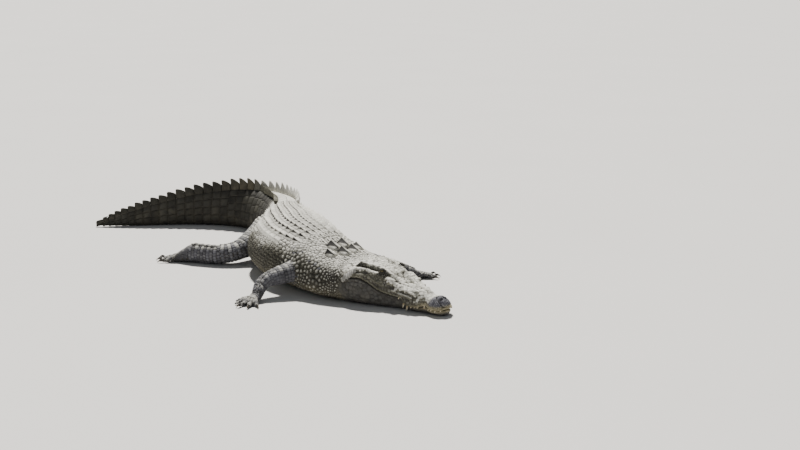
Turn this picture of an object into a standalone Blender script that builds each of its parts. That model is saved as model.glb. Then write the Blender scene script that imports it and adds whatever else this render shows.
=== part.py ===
"""A big saltwater crocodile at rest on its belly, as a still life-size model.

Its head lies flat on the floor, the trunk bends a little, and the tail swings round to the
animal's right. Every section stands on one bent spine line drawn on the floor. The frame is
+Z up with the floor at zero, and the trunk faces -Y, so that the right side is on -X.
"""

import math

import bmesh
import bpy
import numpy as np
from mathutils import Vector

# Overall sizes, in metres.
TOTAL_LENGTH = 4.20
HEAD_LENGTH = 0.68
NECK_END = 1.02
TRUNK_END = 2.02
# The tail is parted at these whorls of scales, counted from its root.
TAIL_PARTINGS = (0, 6, 12, 17, 23)
SINGLE_CREST_FROM = 12
GAP = 0.0004
RING_SPACING = 0.072
NECK_SIDES = 24
TRUNK_SIDES = 26
TAIL_SIDES = 20
TAIL_TIP_SIDES = 14
NECK_RUN = (HEAD_LENGTH + GAP, NECK_END, NECK_SIDES)
TRUNK_RUN = (NECK_END + GAP, TRUNK_END, TRUNK_SIDES)
SNOUT = (0.2195, -1.7647)
SPINE_STEP = 0.01

# The spine's turn to the animal's right, in degrees, at distances behind the snout.
TURNS = (
    (0.00, -15), (0.90, -14), (1.25, 6), (1.50, 22), (1.75, 20), (2.00, 29), (2.15, 28),
    (2.40, 15), (2.70, 0), (2.90, -13), (3.20, -41), (3.70, -65), (4.20, -65),
)

# Neck, trunk and tail: distance behind the snout, half width, top, height of the widest line.
BODY = (
    (0.66, 0.232, 0.240, 0.085), (0.76, 0.268, 0.256, 0.080), (0.90, 0.285, 0.292, 0.100),
    (1.04, 0.278, 0.340, 0.125), (1.24, 0.300, 0.378, 0.145), (1.50, 0.315, 0.390, 0.150),
    (1.74, 0.272, 0.382, 0.145), (1.92, 0.222, 0.374, 0.140), (2.05, 0.204, 0.368, 0.135),
    (2.30, 0.182, 0.350, 0.120), (2.65, 0.142, 0.328, 0.105), (3.00, 0.092, 0.305, 0.085),
    (3.40, 0.062, 0.252, 0.070), (3.80, 0.036, 0.160, 0.050), (4.10, 0.016, 0.070, 0.025),
    (4.20, 0.006, 0.030, 0.012),
)
# How square a section is above its widest line, and how far its underside is pressed flat.
SQUARENESS = ((0.66, 2.3), (1.02, 2.3), (1.60, 2.1), (2.05, 1.95), (2.60, 1.7), (4.20, 1.6))
PRESSED = ((0.66, 0.020), (1.50, 0.022), (2.05, 0.014), (3.00, 0.010), (4.20, 0.003))

# Head: distance behind the snout, then half widths at lip, cheek and brow, heights of brow,
# midline and mouth line, and the half width of the lower jaw.
HEAD = (
    (0.000, 0.018, 0.022, 0.012, 0.058, 0.060, 0.043, 0.012),
    (0.006, 0.034, 0.038, 0.022, 0.067, 0.070, 0.040, 0.026),
    (0.018, 0.051, 0.056, 0.034, 0.079, 0.082, 0.037, 0.040),
    (0.045, 0.067, 0.072, 0.045, 0.099, 0.099, 0.034, 0.053),
    (0.085, 0.072, 0.077, 0.046, 0.108, 0.104, 0.034, 0.059),
    (0.125, 0.058, 0.062, 0.042, 0.112, 0.104, 0.046, 0.064),
    (0.180, 0.082, 0.087, 0.050, 0.130, 0.118, 0.031, 0.068),
    (0.245, 0.092, 0.097, 0.054, 0.145, 0.128, 0.032, 0.078),
    (0.290, 0.097, 0.103, 0.058, 0.153, 0.134, 0.074, 0.090),
    (0.340, 0.107, 0.113, 0.064, 0.180, 0.150, 0.080, 0.106),
    (0.390, 0.122, 0.128, 0.071, 0.208, 0.174, 0.091, 0.126),
    (0.435, 0.138, 0.144, 0.078, 0.230, 0.194, 0.109, 0.148),
    (0.490, 0.158, 0.164, 0.083, 0.238, 0.212, 0.145, 0.176),
    (0.550, 0.178, 0.184, 0.090, 0.243, 0.228, 0.168, 0.202),
    (0.605, 0.192, 0.199, 0.099, 0.248, 0.236, 0.164, 0.218),
    (0.645, 0.200, 0.207, 0.104, 0.240, 0.238, 0.156, 0.226),
    (0.680, 0.202, 0.210, 0.110, 0.236, 0.240, 0.146, 0.230),
)
EYE = (0.436, 0.085, 0.208)
EYE_RADIUS = 0.021
# Upper teeth: distance behind the snout, length. They hang outside the lower jaw.
UPPER_TEETH = (
    (0.020, 0.018), (0.045, 0.022), (0.070, 0.028), (0.092, 0.018),
    (0.165, 0.020), (0.185, 0.026), (0.207, 0.034), (0.232, 0.024), (0.262, 0.018), (0.295, 0.016),
)
LOWER_TEETH = ((0.125, 0.040),)
TOOTH_RADIUS = 0.0062
TOOTH_CLEARANCE = 0.002
TOOTH_SIDES = 5
TOOTH_TIP_SHARE = 0.18
UPPER_ROOT, LOWER_ROOT = 0.010, 0.014
UPPER_LEAN, LOWER_LEAN = 0.002, 0.004
TOOTH_INSET = 0.001
LOWER_TOOTH_OUT = 0.0045

# Crest: distance behind the snout, height of a scute, distance of its row from the midline.
CREST = (
    (2.03, 0.020, 0.075), (2.20, 0.045, 0.078), (2.45, 0.068, 0.060), (2.68, 0.078, 0.030),
    (2.84, 0.082, 0.000), (3.20, 0.078, 0.000), (3.60, 0.062, 0.000), (4.00, 0.036, 0.000),
    (4.20, 0.012, 0.000),
)
# How much of a scute's height is left in the notch before the next one.
NOTCHES = ((2.00, 0.05), (2.60, 0.20), (2.90, 0.55), (4.20, 0.55))
WHORLS = ((2.03, 0.056), (2.50, 0.070), (2.90, 0.080), (3.60, 0.068), (4.20, 0.040))
CREST_SINK = 0.030
SHORTEST_WHORL = 0.015
CREST_THICK = 0.016

# Along one crest scute: share of its length, share of its height over the notch before it.
CREST_RISE, CREST_PEAK, CREST_FOOT = 0.02, 0.84, 0.97
CREST_LEAN = 1.18
CREST_THINNING = 0.75
THINNEST_CREST = 0.001
# A shield scute's rim lies this far under the body's top, and lower out to the side.
SCUTE_RIM, SCUTE_FALL, SCUTE_ROOT = 0.010, 0.06, 0.045

# Neck shield: distance behind the snout, side, length, width, height of the keel.
NECK_SHIELD = (
    (0.790, 0.040, 0.084, 0.070, 0.036), (0.790, -0.040, 0.084, 0.070, 0.036),
    (0.878, 0.043, 0.088, 0.074, 0.036), (0.878, -0.043, 0.088, 0.074, 0.036),
    (0.832, 0.116, 0.074, 0.056, 0.028), (0.832, -0.116, 0.074, 0.056, 0.028),
)

# Limbs. Joints are (to the animal's left, backwards, up) from the point under the snout.
# Shares of a leg's length at which its half widths and half heights are given.
LIMB_KNOTS = (0.0, 0.22, 0.45, 1.0)
LIMBS = {
    "fore_right": {
        "joints": ((-0.38, 0.925, 0.160), (-0.702, 0.962, 0.112), (-0.768, 0.900, 0.048)),
        "wide": (0.135, 0.070, 0.056, 0.040), "tall": (0.115, 0.062, 0.050, 0.034),
        "heading": (-0.90, -0.30), "digits": 5,
    },
    "fore_left": {
        "joints": ((-0.09, 0.985, 0.160), (0.195, 0.905, 0.095), (0.315, 0.815, 0.048)),
        "wide": (0.135, 0.070, 0.056, 0.040), "tall": (0.115, 0.062, 0.050, 0.034),
        "heading": (0.98, 0.12), "digits": 5,
    },
    "hind_right": {
        "joints": ((-0.16, 1.880, 0.185), (-0.500, 1.812, 0.064), (-0.672, 2.045, 0.070)),
        "wide": (0.150, 0.094, 0.074, 0.062), "tall": (0.125, 0.082, 0.064, 0.068),
        "heading": (-0.66, 0.75), "digits": 4,
    },
    "hind_left": {
        "joints": ((-0.02, 1.760, 0.185), (0.300, 1.680, 0.064), (0.372, 1.945, 0.070)),
        "wide": (0.150, 0.094, 0.074, 0.062), "tall": (0.125, 0.082, 0.064, 0.068),
        "heading": (0.24, 0.97), "digits": 4,
    },
}
# Hands and feet: palm length, knuckle half width, palm height, then for each digit from the
# inner one its length and its spread in degrees towards the head.
PALMS = {
    5: {"length": 0.075, "half": 0.050, "tall": 0.036, "radius": 0.0135, "claw": 0.034,
        "digits": ((0.070, 56), (0.092, 28), (0.100, 4), (0.088, -22), (0.066, -50))},
    4: {"length": 0.110, "half": 0.054, "tall": 0.060, "radius": 0.0155, "claw": 0.040,
        "digits": ((0.100, 20), (0.128, 6), (0.140, -8), (0.125, -22))},
}
CLAWED_DIGITS = 3
# Along a palm: share of its length, how far it has widened, and how far it has thinned.
PALM_RINGS = ((0.40, 0.35, 0.30), (0.75, 0.75, 0.66), (1.00, 1.00, 0.90), (1.16, 0.80, 1.10))
# Height of a limb section's centre over the floor, in half heights, so that it rests on a flat.
SOLE_HEIGHT = 0.92
KNUCKLE_OVERLAP = 0.012
# Along a digit and along its claw: share of its length and share of its radius.
DIGIT_RINGS = ((0.0, 1.0), (0.50, 1.05), (1.0, 0.72))
DIGIT_ARCH = 0.55
CLAW_RINGS = ((0.0, 1.0), (0.45, 0.74), (1.0, 0.10))
CLAW_SHARE = 0.62
CLAW_TALL, CLAW_WIDE = 1.15, 0.80
CLAW_ARCH = 0.012
CLAW_TIP_HEIGHT = 0.0015
THINNEST_CLAW = 0.0009

BACK_GREY = (0.42, 0.41, 0.34)
FLANK_GREY = (0.22, 0.21, 0.16)
LEG_GREY = (0.20, 0.21, 0.20)
TAIL_DARK = (0.10, 0.095, 0.08)
JAW_OLIVE = (0.24, 0.22, 0.16)
EYE_AMBER = (0.30, 0.24, 0.08)
CLAW_HORN = (0.045, 0.040, 0.035)


def smooth_curve(stations):
    """A function through (distance, value) stations that never overshoots between them."""
    x, y = (np.array(column, float) for column in zip(*stations))
    step = np.diff(x)
    slope = np.diff(y) / step
    tangent = np.concatenate(([slope[0]], np.zeros(len(x) - 2), [slope[-1]]))
    for i in range(1, len(x) - 1):
        if slope[i - 1] * slope[i] > 0:
            tangent[i] = 2 / (1 / slope[i - 1] + 1 / slope[i])

    def value(at):
        i = int(np.clip(np.searchsorted(x, at) - 1, 0, len(step) - 1))
        t = min(max((at - x[i]) / step[i], 0.0), 1.0)
        rise = y[i] * (1 + 2 * t) * (1 - t) ** 2 + y[i + 1] * t * t * (3 - 2 * t)
        lean = step[i] * t * (1 - t) * (tangent[i] * (1 - t) - tangent[i + 1] * t)
        return float(rise + lean)

    return value


def columns(table):
    """One smooth curve for each column of a table whose first column is the distance."""
    return [smooth_curve([(row[0], row[i]) for row in table]) for i in range(1, len(table[0]))]


class Spine:
    """The line on the floor under the animal's middle, from the snout to the tail's tip."""

    def __init__(self):
        turn_at = smooth_curve(TURNS)
        self.at = np.arange(0.0, TOTAL_LENGTH + SPINE_STEP / 2, SPINE_STEP)
        self.turn = np.radians([turn_at(s) for s in self.at])
        back = np.stack([np.sin(self.turn), np.cos(self.turn)], axis=1)
        middles = (back[1:] + back[:-1]) / 2 * SPINE_STEP
        self.line = np.concatenate([[SNOUT], SNOUT + np.cumsum(middles, axis=0)])

    def place(self, s, side, height):
        """The point at this distance behind the snout, this far to the right, and this high."""
        turn = float(np.interp(s, self.at, self.turn))
        x = float(np.interp(s, self.at, self.line[:, 0]))
        y = float(np.interp(s, self.at, self.line[:, 1]))
        return Vector((x - math.cos(turn) * side, y + math.sin(turn) * side, height))


SPINE = Spine()
BODY_HALF, BODY_TOP, BODY_WAIST = columns(BODY)
SQUARE = smooth_curve(SQUARENESS)
PRESS = smooth_curve(PRESSED)
LIP, CHEEK, BROW, CREST_OF_BROW, MIDLINE, GAPE, JAW = columns(HEAD)
CREST_HEIGHT, CREST_SIDE = columns(CREST)
WHORL_LENGTH = smooth_curve(WHORLS)
CREST_VALLEY = smooth_curve(NOTCHES)


def make_object(name, mesh, colour, roughness=0.75):
    obj = bpy.data.objects.new(name, mesh)
    bpy.context.scene.collection.objects.link(obj)
    material = bpy.data.materials.new(name)
    material.use_nodes = True
    shader = material.node_tree.nodes["Principled BSDF"]
    shader.inputs["Base Color"].default_value = (*colour, 1.0)
    shader.inputs["Roughness"].default_value = roughness
    shader.inputs["Metallic"].default_value = 0.0
    mesh.materials.append(material)
    return obj


def loft(rings, name="loft"):
    """A closed mesh through rings of equal length, with a flat cap at each end."""
    bm = bmesh.new()
    loops = [[bm.verts.new(point) for point in ring] for ring in rings]
    for near, far in zip(loops, loops[1:]):
        for i, corner in enumerate(near):
            following = (i + 1) % len(near)
            bm.faces.new((corner, near[following], far[following], far[i]))
    bm.faces.new(loops[0][::-1])
    bm.faces.new(loops[-1])
    bmesh.ops.recalc_face_normals(bm, faces=bm.faces)
    bmesh.ops.triangulate(bm, faces=bm.faces)
    mesh = bpy.data.meshes.new(name)
    bm.to_mesh(mesh)
    bm.free()
    return mesh


def combine(obj, other, operation):
    """Join or cut an object with another one, which is used up."""
    modifier = obj.modifiers.new(operation, "BOOLEAN")
    modifier.operation = operation
    modifier.solver = "EXACT"
    modifier.object = other
    with bpy.context.temp_override(object=obj, active_object=obj):
        bpy.ops.object.modifier_apply(modifier=modifier.name)
    bpy.data.objects.remove(other)


def helper(mesh):
    obj = bpy.data.objects.new("helper", mesh)
    bpy.context.scene.collection.objects.link(obj)
    return obj


def superellipse(side, height, power, angle):
    """The point of a superellipse quadrant pair at an angle from straight up."""
    s, c = math.sin(angle), math.cos(angle)
    return (
        side * math.copysign(abs(s) ** (2 / power), s),
        height * math.copysign(abs(c) ** (2 / power), c),
    )


def body_ring(s, sides, grow=0.0):
    """One upright section of neck, trunk or tail, pressed flat where it meets the floor."""
    half, top, waist = BODY_HALF(s) + grow, BODY_TOP(s) + grow, BODY_WAIST(s)
    ring = []
    for i in range(sides):
        angle = 2 * math.pi * i / sides
        above = math.cos(angle) >= 0
        reach = top - waist if above else waist + PRESS(s) + grow
        side, height = superellipse(half, reach, SQUARE(s) if above else 2.0, angle)
        floor = -grow
        ring.append(SPINE.place(s, side, max(waist + height, floor)))
    return ring


def body_loft(start, end, sides, grow=0.0):
    """The body between two distances, and a little more all over where it grows into a cutter."""
    count = max(2, round((end - start) / RING_SPACING) + 1)
    return loft([body_ring(s, sides, grow) for s in np.linspace(start - grow, end + grow, count)])


def keeled_scute(s, side, length, width, height):
    """A roof-shaped scute whose keel rises towards the back and ends steeply."""
    front, back = s - length / 2, s + length / 2
    top = BODY_TOP(s)
    rim_height = top - SCUTE_RIM - SCUTE_FALL * abs(side)
    outline = ((front, -0.5), (front, 0.5), (back, 0.5), (back, -0.5))
    base = [SPINE.place(at, side + width * w, top - SCUTE_ROOT) for at, w in outline]
    rim = [SPINE.place(at, side + width * w, rim_height) for at, w in outline]
    keel = [
        SPINE.place(front + 0.30 * length, side, top + 0.5 * height),
        SPINE.place(back - 0.12 * length, side, top + height),
    ]
    bm = bmesh.new()
    b = [bm.verts.new(p) for p in base]
    r = [bm.verts.new(p) for p in rim]
    k = [bm.verts.new(p) for p in keel]
    for i in range(4):
        bm.faces.new((b[i], b[(i + 1) % 4], r[(i + 1) % 4], r[i]))
    bm.faces.new(b[::-1])
    bm.faces.new((r[0], r[1], k[0]))
    bm.faces.new((r[1], r[2], k[1], k[0]))
    bm.faces.new((r[2], r[3], k[1]))
    bm.faces.new((r[3], r[0], k[0], k[1]))
    bmesh.ops.recalc_face_normals(bm, faces=bm.faces)
    bmesh.ops.triangulate(bm, faces=bm.faces)
    mesh = bpy.data.meshes.new("scute")
    bm.to_mesh(mesh)
    bm.free()
    return mesh


def make_neck():
    neck = make_object("neck", body_loft(*NECK_RUN), BACK_GREY)
    for scute in NECK_SHIELD:
        combine(neck, helper(keeled_scute(*scute)), "UNION")


def make_trunk():
    make_object("trunk", body_loft(*TRUNK_RUN), BACK_GREY)


def whorl_starts():
    """Where each ring of tail scales begins, from the trunk's end to the tip."""
    starts = [TRUNK_END]
    while starts[-1] + WHORL_LENGTH(starts[-1]) < TOTAL_LENGTH - SHORTEST_WHORL:
        starts.append(starts[-1] + WHORL_LENGTH(starts[-1]))
    return starts + [TOTAL_LENGTH]


def crest_strip(starts, row):
    """A saw-edged strip of crest scutes, which lean back, over one length of the tail."""
    rings = []
    for s, following in zip(starts, starts[1:]):
        valley = CREST_VALLEY(s)
        for share, rise in ((CREST_RISE, valley), (CREST_PEAK, 1.0), (CREST_FOOT, valley + 0.04)):
            at = s + share * (following - s)
            side = row * CREST_SIDE(at)
            lean = side * CREST_LEAN
            low = BODY_TOP(at) - CREST_SINK * min(1.0, BODY_TOP(at) / 0.10)
            high = BODY_TOP(at) + rise * CREST_HEIGHT(at)
            thick = min(CREST_THICK / 2, BODY_HALF(at) * 0.45)
            thin = max(thick * (1 - CREST_THINNING * rise), THINNEST_CREST)
            rings.append([
                SPINE.place(at, side - thick, low), SPINE.place(at, side + thick, low),
                SPINE.place(at, lean + thin, high), SPINE.place(at, lean - thin, high),
            ])
    return loft(rings)


def make_tail():
    whorls = whorl_starts()
    edges = TAIL_PARTINGS + (len(whorls) - 1,)
    for number, (first, last) in enumerate(zip(edges, edges[1:]), start=1):
        sides = TAIL_SIDES if first < SINGLE_CREST_FROM else TAIL_TIP_SIDES
        length = body_loft(whorls[first] + GAP, whorls[last], sides)
        tail = make_object(f"tail_{number}", length, TAIL_DARK)
        rows = (1, -1) if first < SINGLE_CREST_FROM else (0,)
        for row in rows:
            combine(tail, helper(crest_strip(whorls[first:last + 1], row)), "UNION")


def upper_head_ring(d):
    """A section of skull and upper jaw above the mouth line, from lip to lip over the top."""
    mouth = GAPE(d) + GAP / 2
    rise = CREST_OF_BROW(d) - mouth
    half = (
        (LIP(d) * 0.55, mouth), (LIP(d), mouth), (CHEEK(d), mouth + 0.30 * rise),
        (0.42 * CHEEK(d) + 0.58 * BROW(d), mouth + 0.78 * rise), (BROW(d), mouth + rise),
        (0.55 * BROW(d), MIDLINE(d) + 0.35 * (CREST_OF_BROW(d) - MIDLINE(d))), (0.0, MIDLINE(d)),
    )
    right = [SPINE.place(d, side, height) for side, height in half]
    left = [SPINE.place(d, -side, height) for side, height in half[-2::-1]]
    return right + left


def lower_jaw_ring(d):
    """A section of the lower jaw and throat, flat on the floor and flat at the mouth line."""
    mouth = GAPE(d) - GAP / 2
    half = (
        (0.0, 0.0), (0.62 * JAW(d), 0.0), (0.90 * JAW(d), 0.14 * mouth),
        (JAW(d), 0.52 * mouth), (0.93 * JAW(d), mouth), (0.45 * JAW(d), mouth),
    )
    right = [SPINE.place(d, side, height) for side, height in half]
    left = [SPINE.place(d, -side, height) for side, height in half[:0:-1]]
    return right + left


def tooth(d, side, root, tip, outward):
    """A cone from root height to tip height, leaning outward."""
    rings = []
    for share, radius in ((0.0, TOOTH_RADIUS), (1.0, TOOTH_RADIUS * TOOTH_TIP_SHARE)):
        height = root + (tip - root) * share
        centre = side + outward * share
        rings.append([
            SPINE.place(
                d + radius * math.cos(turn), centre + radius * math.sin(turn), height
            )
            for turn in (2 * math.pi * i / TOOTH_SIDES for i in range(TOOTH_SIDES))
        ])
    return loft(rings)


def head_stations():
    steps = (0.0, 0.006, 0.016, 0.032, 0.055, 0.080, 0.105, 0.125, 0.145, 0.170, 0.205)
    return list(steps) + list(np.linspace(0.24, HEAD_LENGTH, 13))


def make_head():
    rings = [upper_head_ring(d) for d in head_stations()]
    head = make_object("head_upper", loft(rings), BACK_GREY)
    for d, length in UPPER_TEETH:
        for sign in (1, -1):
            root = GAPE(d) + UPPER_ROOT
            tip = max(GAPE(d) - length, TOOTH_CLEARANCE)
            side = LIP(d) - TOOTH_RADIUS - TOOTH_INSET
            cone = tooth(d, sign * side, root, tip, sign * UPPER_LEAN)
            combine(head, helper(cone), "UNION")
    for sign in (1, -1):
        combine(head, helper(eyeball(sign, EYE_RADIUS + GAP)), "DIFFERENCE")
    rings = [lower_jaw_ring(d) for d in head_stations()]
    jaw = make_object("lower_jaw", loft(rings), JAW_OLIVE)
    for d, length in LOWER_TEETH:
        for sign in (1, -1):
            root = GAPE(d) - LOWER_ROOT
            side = CHEEK(d) + LOWER_TOOTH_OUT
            cone = tooth(d, sign * side, root, root + length, sign * LOWER_LEAN)
            combine(jaw, helper(cone), "UNION")


def eyeball(sign, radius):
    centre = SPINE.place(EYE[0], sign * EYE[1], EYE[2])
    bm = bmesh.new()
    bmesh.ops.create_uvsphere(bm, u_segments=10, v_segments=7, radius=radius)
    bmesh.ops.translate(bm, verts=bm.verts, vec=centre)
    mesh = bpy.data.meshes.new("eyeball")
    bm.to_mesh(mesh)
    bm.free()
    return mesh


def make_eyes():
    for side, sign in (("right", 1), ("left", -1)):
        make_object(f"eye_{side}", eyeball(sign, EYE_RADIUS), EYE_AMBER, 0.15)


def limb_point(joint):
    return Vector((SNOUT[0] + joint[0], SNOUT[1] + joint[1], joint[2]))


def limb_ring(centre, along, wide, tall, sides=10, sole=0.0):
    """A section across a limb, with its lower points kept at or above the sole."""
    across = along.cross(Vector((0, 0, 1))).normalized()
    up = across.cross(along).normalized()
    ring = []
    for i in range(sides):
        turn = 2 * math.pi * (i + 0.5) / sides
        point = centre + across * wide * math.cos(turn) + up * tall * math.sin(turn)
        point.z = max(point.z, sole)
        ring.append(point)
    return ring


def bezier(points, t):
    """A point and a direction on the quadratic curve of three points."""
    a, b, c = points
    where = a * (1 - t) ** 2 + b * 2 * t * (1 - t) + c * t * t
    return where, ((b - a) * (1 - t) + (c - b) * t).normalized()


def limb_path(joints, samples):
    """Centre and direction along root, middle joint and end, rounded at the middle joint."""
    root, middle, end = joints
    before = middle.lerp(root, 0.35)
    after = middle.lerp(end, 0.50)
    straight = [(root.lerp(before, t), (middle - root).normalized()) for t in (0.0, 0.5)]
    bend = [bezier((before, middle, after), t) for t in np.linspace(0, 1, samples)]
    return straight, bend, (end, (end - middle).normalized())


def body_cutters():
    """Neck, trunk and tail root grown by the gap, as the solids that a leg is cut by."""
    whorls = whorl_starts()
    tail_root = (whorls[0] + GAP, whorls[TAIL_PARTINGS[1]], TAIL_SIDES)
    return [helper(body_loft(*run, grow=GAP)) for run in (NECK_RUN, TRUNK_RUN, tail_root)]


def make_limb(name, limb):
    """Upper and lower lengths of a leg, parted across at the elbow or knee."""
    joints = [limb_point(joint) for joint in limb["joints"]]
    straight, bend, last = limb_path(joints, 5)
    centres = straight + bend + [last]
    wide = smooth_curve(list(zip(LIMB_KNOTS, limb["wide"])))
    tall = smooth_curve(list(zip(LIMB_KNOTS, limb["tall"])))
    middle = len(straight) + len(bend) // 2
    rings = []
    grown = []
    for i, (centre, along) in enumerate(centres):
        share = i / (len(centres) - 1)
        rings.append(limb_ring(centre, along, wide(share), tall(share)))
        grown.append(limb_ring(centre, along, wide(share) + GAP, tall(share) + GAP, sole=-GAP))
    upper = make_object(f"{name}_upper", loft(rings[: middle + 1]), LEG_GREY)
    lower = make_object(f"{name}_lower", loft(rings[middle:]), LEG_GREY)
    beyond = centres[middle][1] * GAP
    grown[middle] = [point + beyond for point in grown[middle]]
    combine(lower, helper(loft(grown[: middle + 1])), "DIFFERENCE")
    for length in (upper, lower):
        for cutter in body_cutters():
            combine(length, cutter, "DIFFERENCE")
    return rings[-1], last


def digit_rings(base, along, length, radius, tall_base):
    """A toe that arches down from the knuckle and lies along the floor to its blunt end."""
    rings = []
    for share, thick in DIGIT_RINGS:
        centre = base + along * length * share
        tall = radius * thick
        arch = tall_base * (1 - share) ** 1.6 * DIGIT_ARCH
        centre.z = tall * SOLE_HEIGHT + arch
        rings.append(limb_ring(centre, along, radius * thick, tall, sides=6))
    return rings


def claw_rings(base, along, length, radius):
    """A curved claw that drops to the floor at its tip."""
    rings = []
    for share, thick in CLAW_RINGS:
        centre = base + along * length * share
        tall = max(radius * thick * CLAW_TALL, THINNEST_CLAW)
        wide = max(radius * thick * CLAW_WIDE, THINNEST_CLAW)
        arch = CLAW_ARCH * math.sin(math.pi * share)
        centre.z = base.z * (1 - share ** 2) + CLAW_TIP_HEIGHT + arch
        rings.append(limb_ring(centre, along, wide, tall, sides=6))
    return rings


def make_hand(name, limb, wrist_ring, wrist):
    """Palm and digits as one solid, and a separate claw on each of the inner digits."""
    palm = PALMS[limb["digits"]]
    centre, along = wrist
    heading = Vector((*limb["heading"], 0.0)).normalized()
    inner = -1 if heading.x < 0 else 1
    across = Vector((heading.y, -heading.x, 0.0)) * inner
    if across.y > 0:
        across = -across
    knuckles = centre + heading * palm["length"]
    start = [point + along * GAP for point in wrist_ring]
    for point in start:
        point.z = max(point.z, 0.0)
    rings = [start]
    wrist_half, wrist_tall = limb["wide"][-1], limb["tall"][-1]
    for share, spread, thin in PALM_RINGS:
        at = centre + heading * palm["length"] * share
        thick = wrist_tall + (palm["tall"] / 2 - wrist_tall) * thin
        at.z = thick * SOLE_HEIGHT
        half = wrist_half + (palm["half"] - wrist_half) * spread
        rings.append(limb_ring(at, heading, half, thick))
    hand = make_object(f"{name}_palm", loft(rings), LEG_GREY)
    count = len(palm["digits"])
    for i, (length, spread) in enumerate(palm["digits"]):
        turn = math.radians(spread)
        along = (heading * math.cos(turn) + across * math.sin(turn)).normalized()
        offset = (1 - 2 * i / (count - 1)) * (palm["half"] - palm["radius"] * 0.9)
        base = knuckles - heading * KNUCKLE_OVERLAP + across * offset
        rings = digit_rings(base, along, length, palm["radius"], palm["tall"])
        combine(hand, helper(loft(rings)), "UNION")
        if i < CLAWED_DIGITS:
            tip = base + along * (length + GAP)
            tip.z = palm["radius"] * DIGIT_RINGS[-1][1] * SOLE_HEIGHT
            rings = claw_rings(tip, along, palm["claw"], palm["radius"] * CLAW_SHARE)
            make_object(f"{name}_claw_{i + 1}", loft(rings), CLAW_HORN, 0.35)


def clear_scene():
    for obj in list(bpy.data.objects):
        bpy.data.objects.remove(obj)


def main():
    clear_scene()
    make_head()
    make_eyes()
    make_neck()
    make_trunk()
    make_tail()
    for name, limb in LIMBS.items():
        wrist_ring, wrist = make_limb(name, limb)
        make_hand(name, limb, wrist_ring, wrist)


main()
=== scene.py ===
"""A big saltwater crocodile at rest, as a still life-size model built over its packed frame.

One skin covers head, body, legs and feet. Over it lie the scales as solid shapes: keeled back
scutes, the neck shield, the tail's crest and whorls, and the small scales of flank, neck,
belly, jaws, legs and feet. Eyes, lids, teeth and claws are pieces of their own.
"""

import math
import time

import bpy
import numpy as np
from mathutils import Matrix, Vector
from mathutils.bvhtree import BVHTree
from mathutils.kdtree import KDTree


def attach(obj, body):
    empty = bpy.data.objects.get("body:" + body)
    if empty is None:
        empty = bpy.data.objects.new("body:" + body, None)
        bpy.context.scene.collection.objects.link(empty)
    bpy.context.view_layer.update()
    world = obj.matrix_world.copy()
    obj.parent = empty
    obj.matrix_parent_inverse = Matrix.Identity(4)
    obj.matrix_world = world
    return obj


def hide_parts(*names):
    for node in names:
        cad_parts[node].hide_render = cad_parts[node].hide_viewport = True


bl_info = {
    "name": "Resting Crocodile",
    "version": (1, 0, 0),
    "blender": (4, 5, 0),
    "location": "View3D > Sidebar > Crocodile",
    "description": "Builds the skin, scales, eyes, teeth and claws of a resting crocodile",
    "category": "Object",
}

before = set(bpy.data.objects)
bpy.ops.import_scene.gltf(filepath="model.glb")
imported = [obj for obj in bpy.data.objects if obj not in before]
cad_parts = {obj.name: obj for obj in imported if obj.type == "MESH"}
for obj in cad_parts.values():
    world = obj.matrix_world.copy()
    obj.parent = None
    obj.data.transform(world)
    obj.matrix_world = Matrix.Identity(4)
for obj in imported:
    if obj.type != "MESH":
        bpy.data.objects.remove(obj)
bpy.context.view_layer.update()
SEED = 11

# ---------------------------------------------------------------- measures of the animal
# Distances are in metres, and those along the animal are measured behind its snout.
TOTAL_LENGTH = 4.20
TRUNK_END = 2.02
SNOUT = (0.2195, -1.7647)
SPINE_STEP = 0.01

# The spine's turn to the animal's right, in degrees.
TURNS = (
    (0.00, -15), (0.90, -14), (1.25, 6), (1.50, 22), (1.75, 20), (2.00, 29), (2.15, 28),
    (2.40, 15), (2.70, 0), (2.90, -13), (3.20, -41), (3.70, -65), (4.20, -65),
)
# Neck, trunk and tail: distance, half width, top, height of the widest line.
BODY = (
    (0.66, 0.232, 0.240, 0.085), (0.76, 0.268, 0.256, 0.080), (0.90, 0.285, 0.292, 0.100),
    (1.04, 0.278, 0.340, 0.125), (1.24, 0.300, 0.378, 0.145), (1.50, 0.315, 0.390, 0.150),
    (1.74, 0.272, 0.382, 0.145), (1.92, 0.222, 0.374, 0.140), (2.05, 0.204, 0.368, 0.135),
    (2.30, 0.182, 0.350, 0.120), (2.65, 0.142, 0.328, 0.105), (3.00, 0.092, 0.305, 0.085),
    (3.40, 0.062, 0.252, 0.070), (3.80, 0.036, 0.160, 0.050), (4.10, 0.016, 0.070, 0.025),
    (4.20, 0.006, 0.030, 0.012),
)
# Upper half of the section, by distance: 2 is an ellipse, and more is squarer.
SQUARENESS = ((0.66, 2.3), (1.02, 2.3), (1.60, 2.1), (2.05, 1.95), (2.60, 1.7), (4.20, 1.6))
# How far the round underside would reach below the floor, by distance: it is pressed flat there.
PRESSED = ((0.66, 0.020), (1.50, 0.022), (2.05, 0.014), (3.00, 0.010), (4.20, 0.003))
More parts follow.
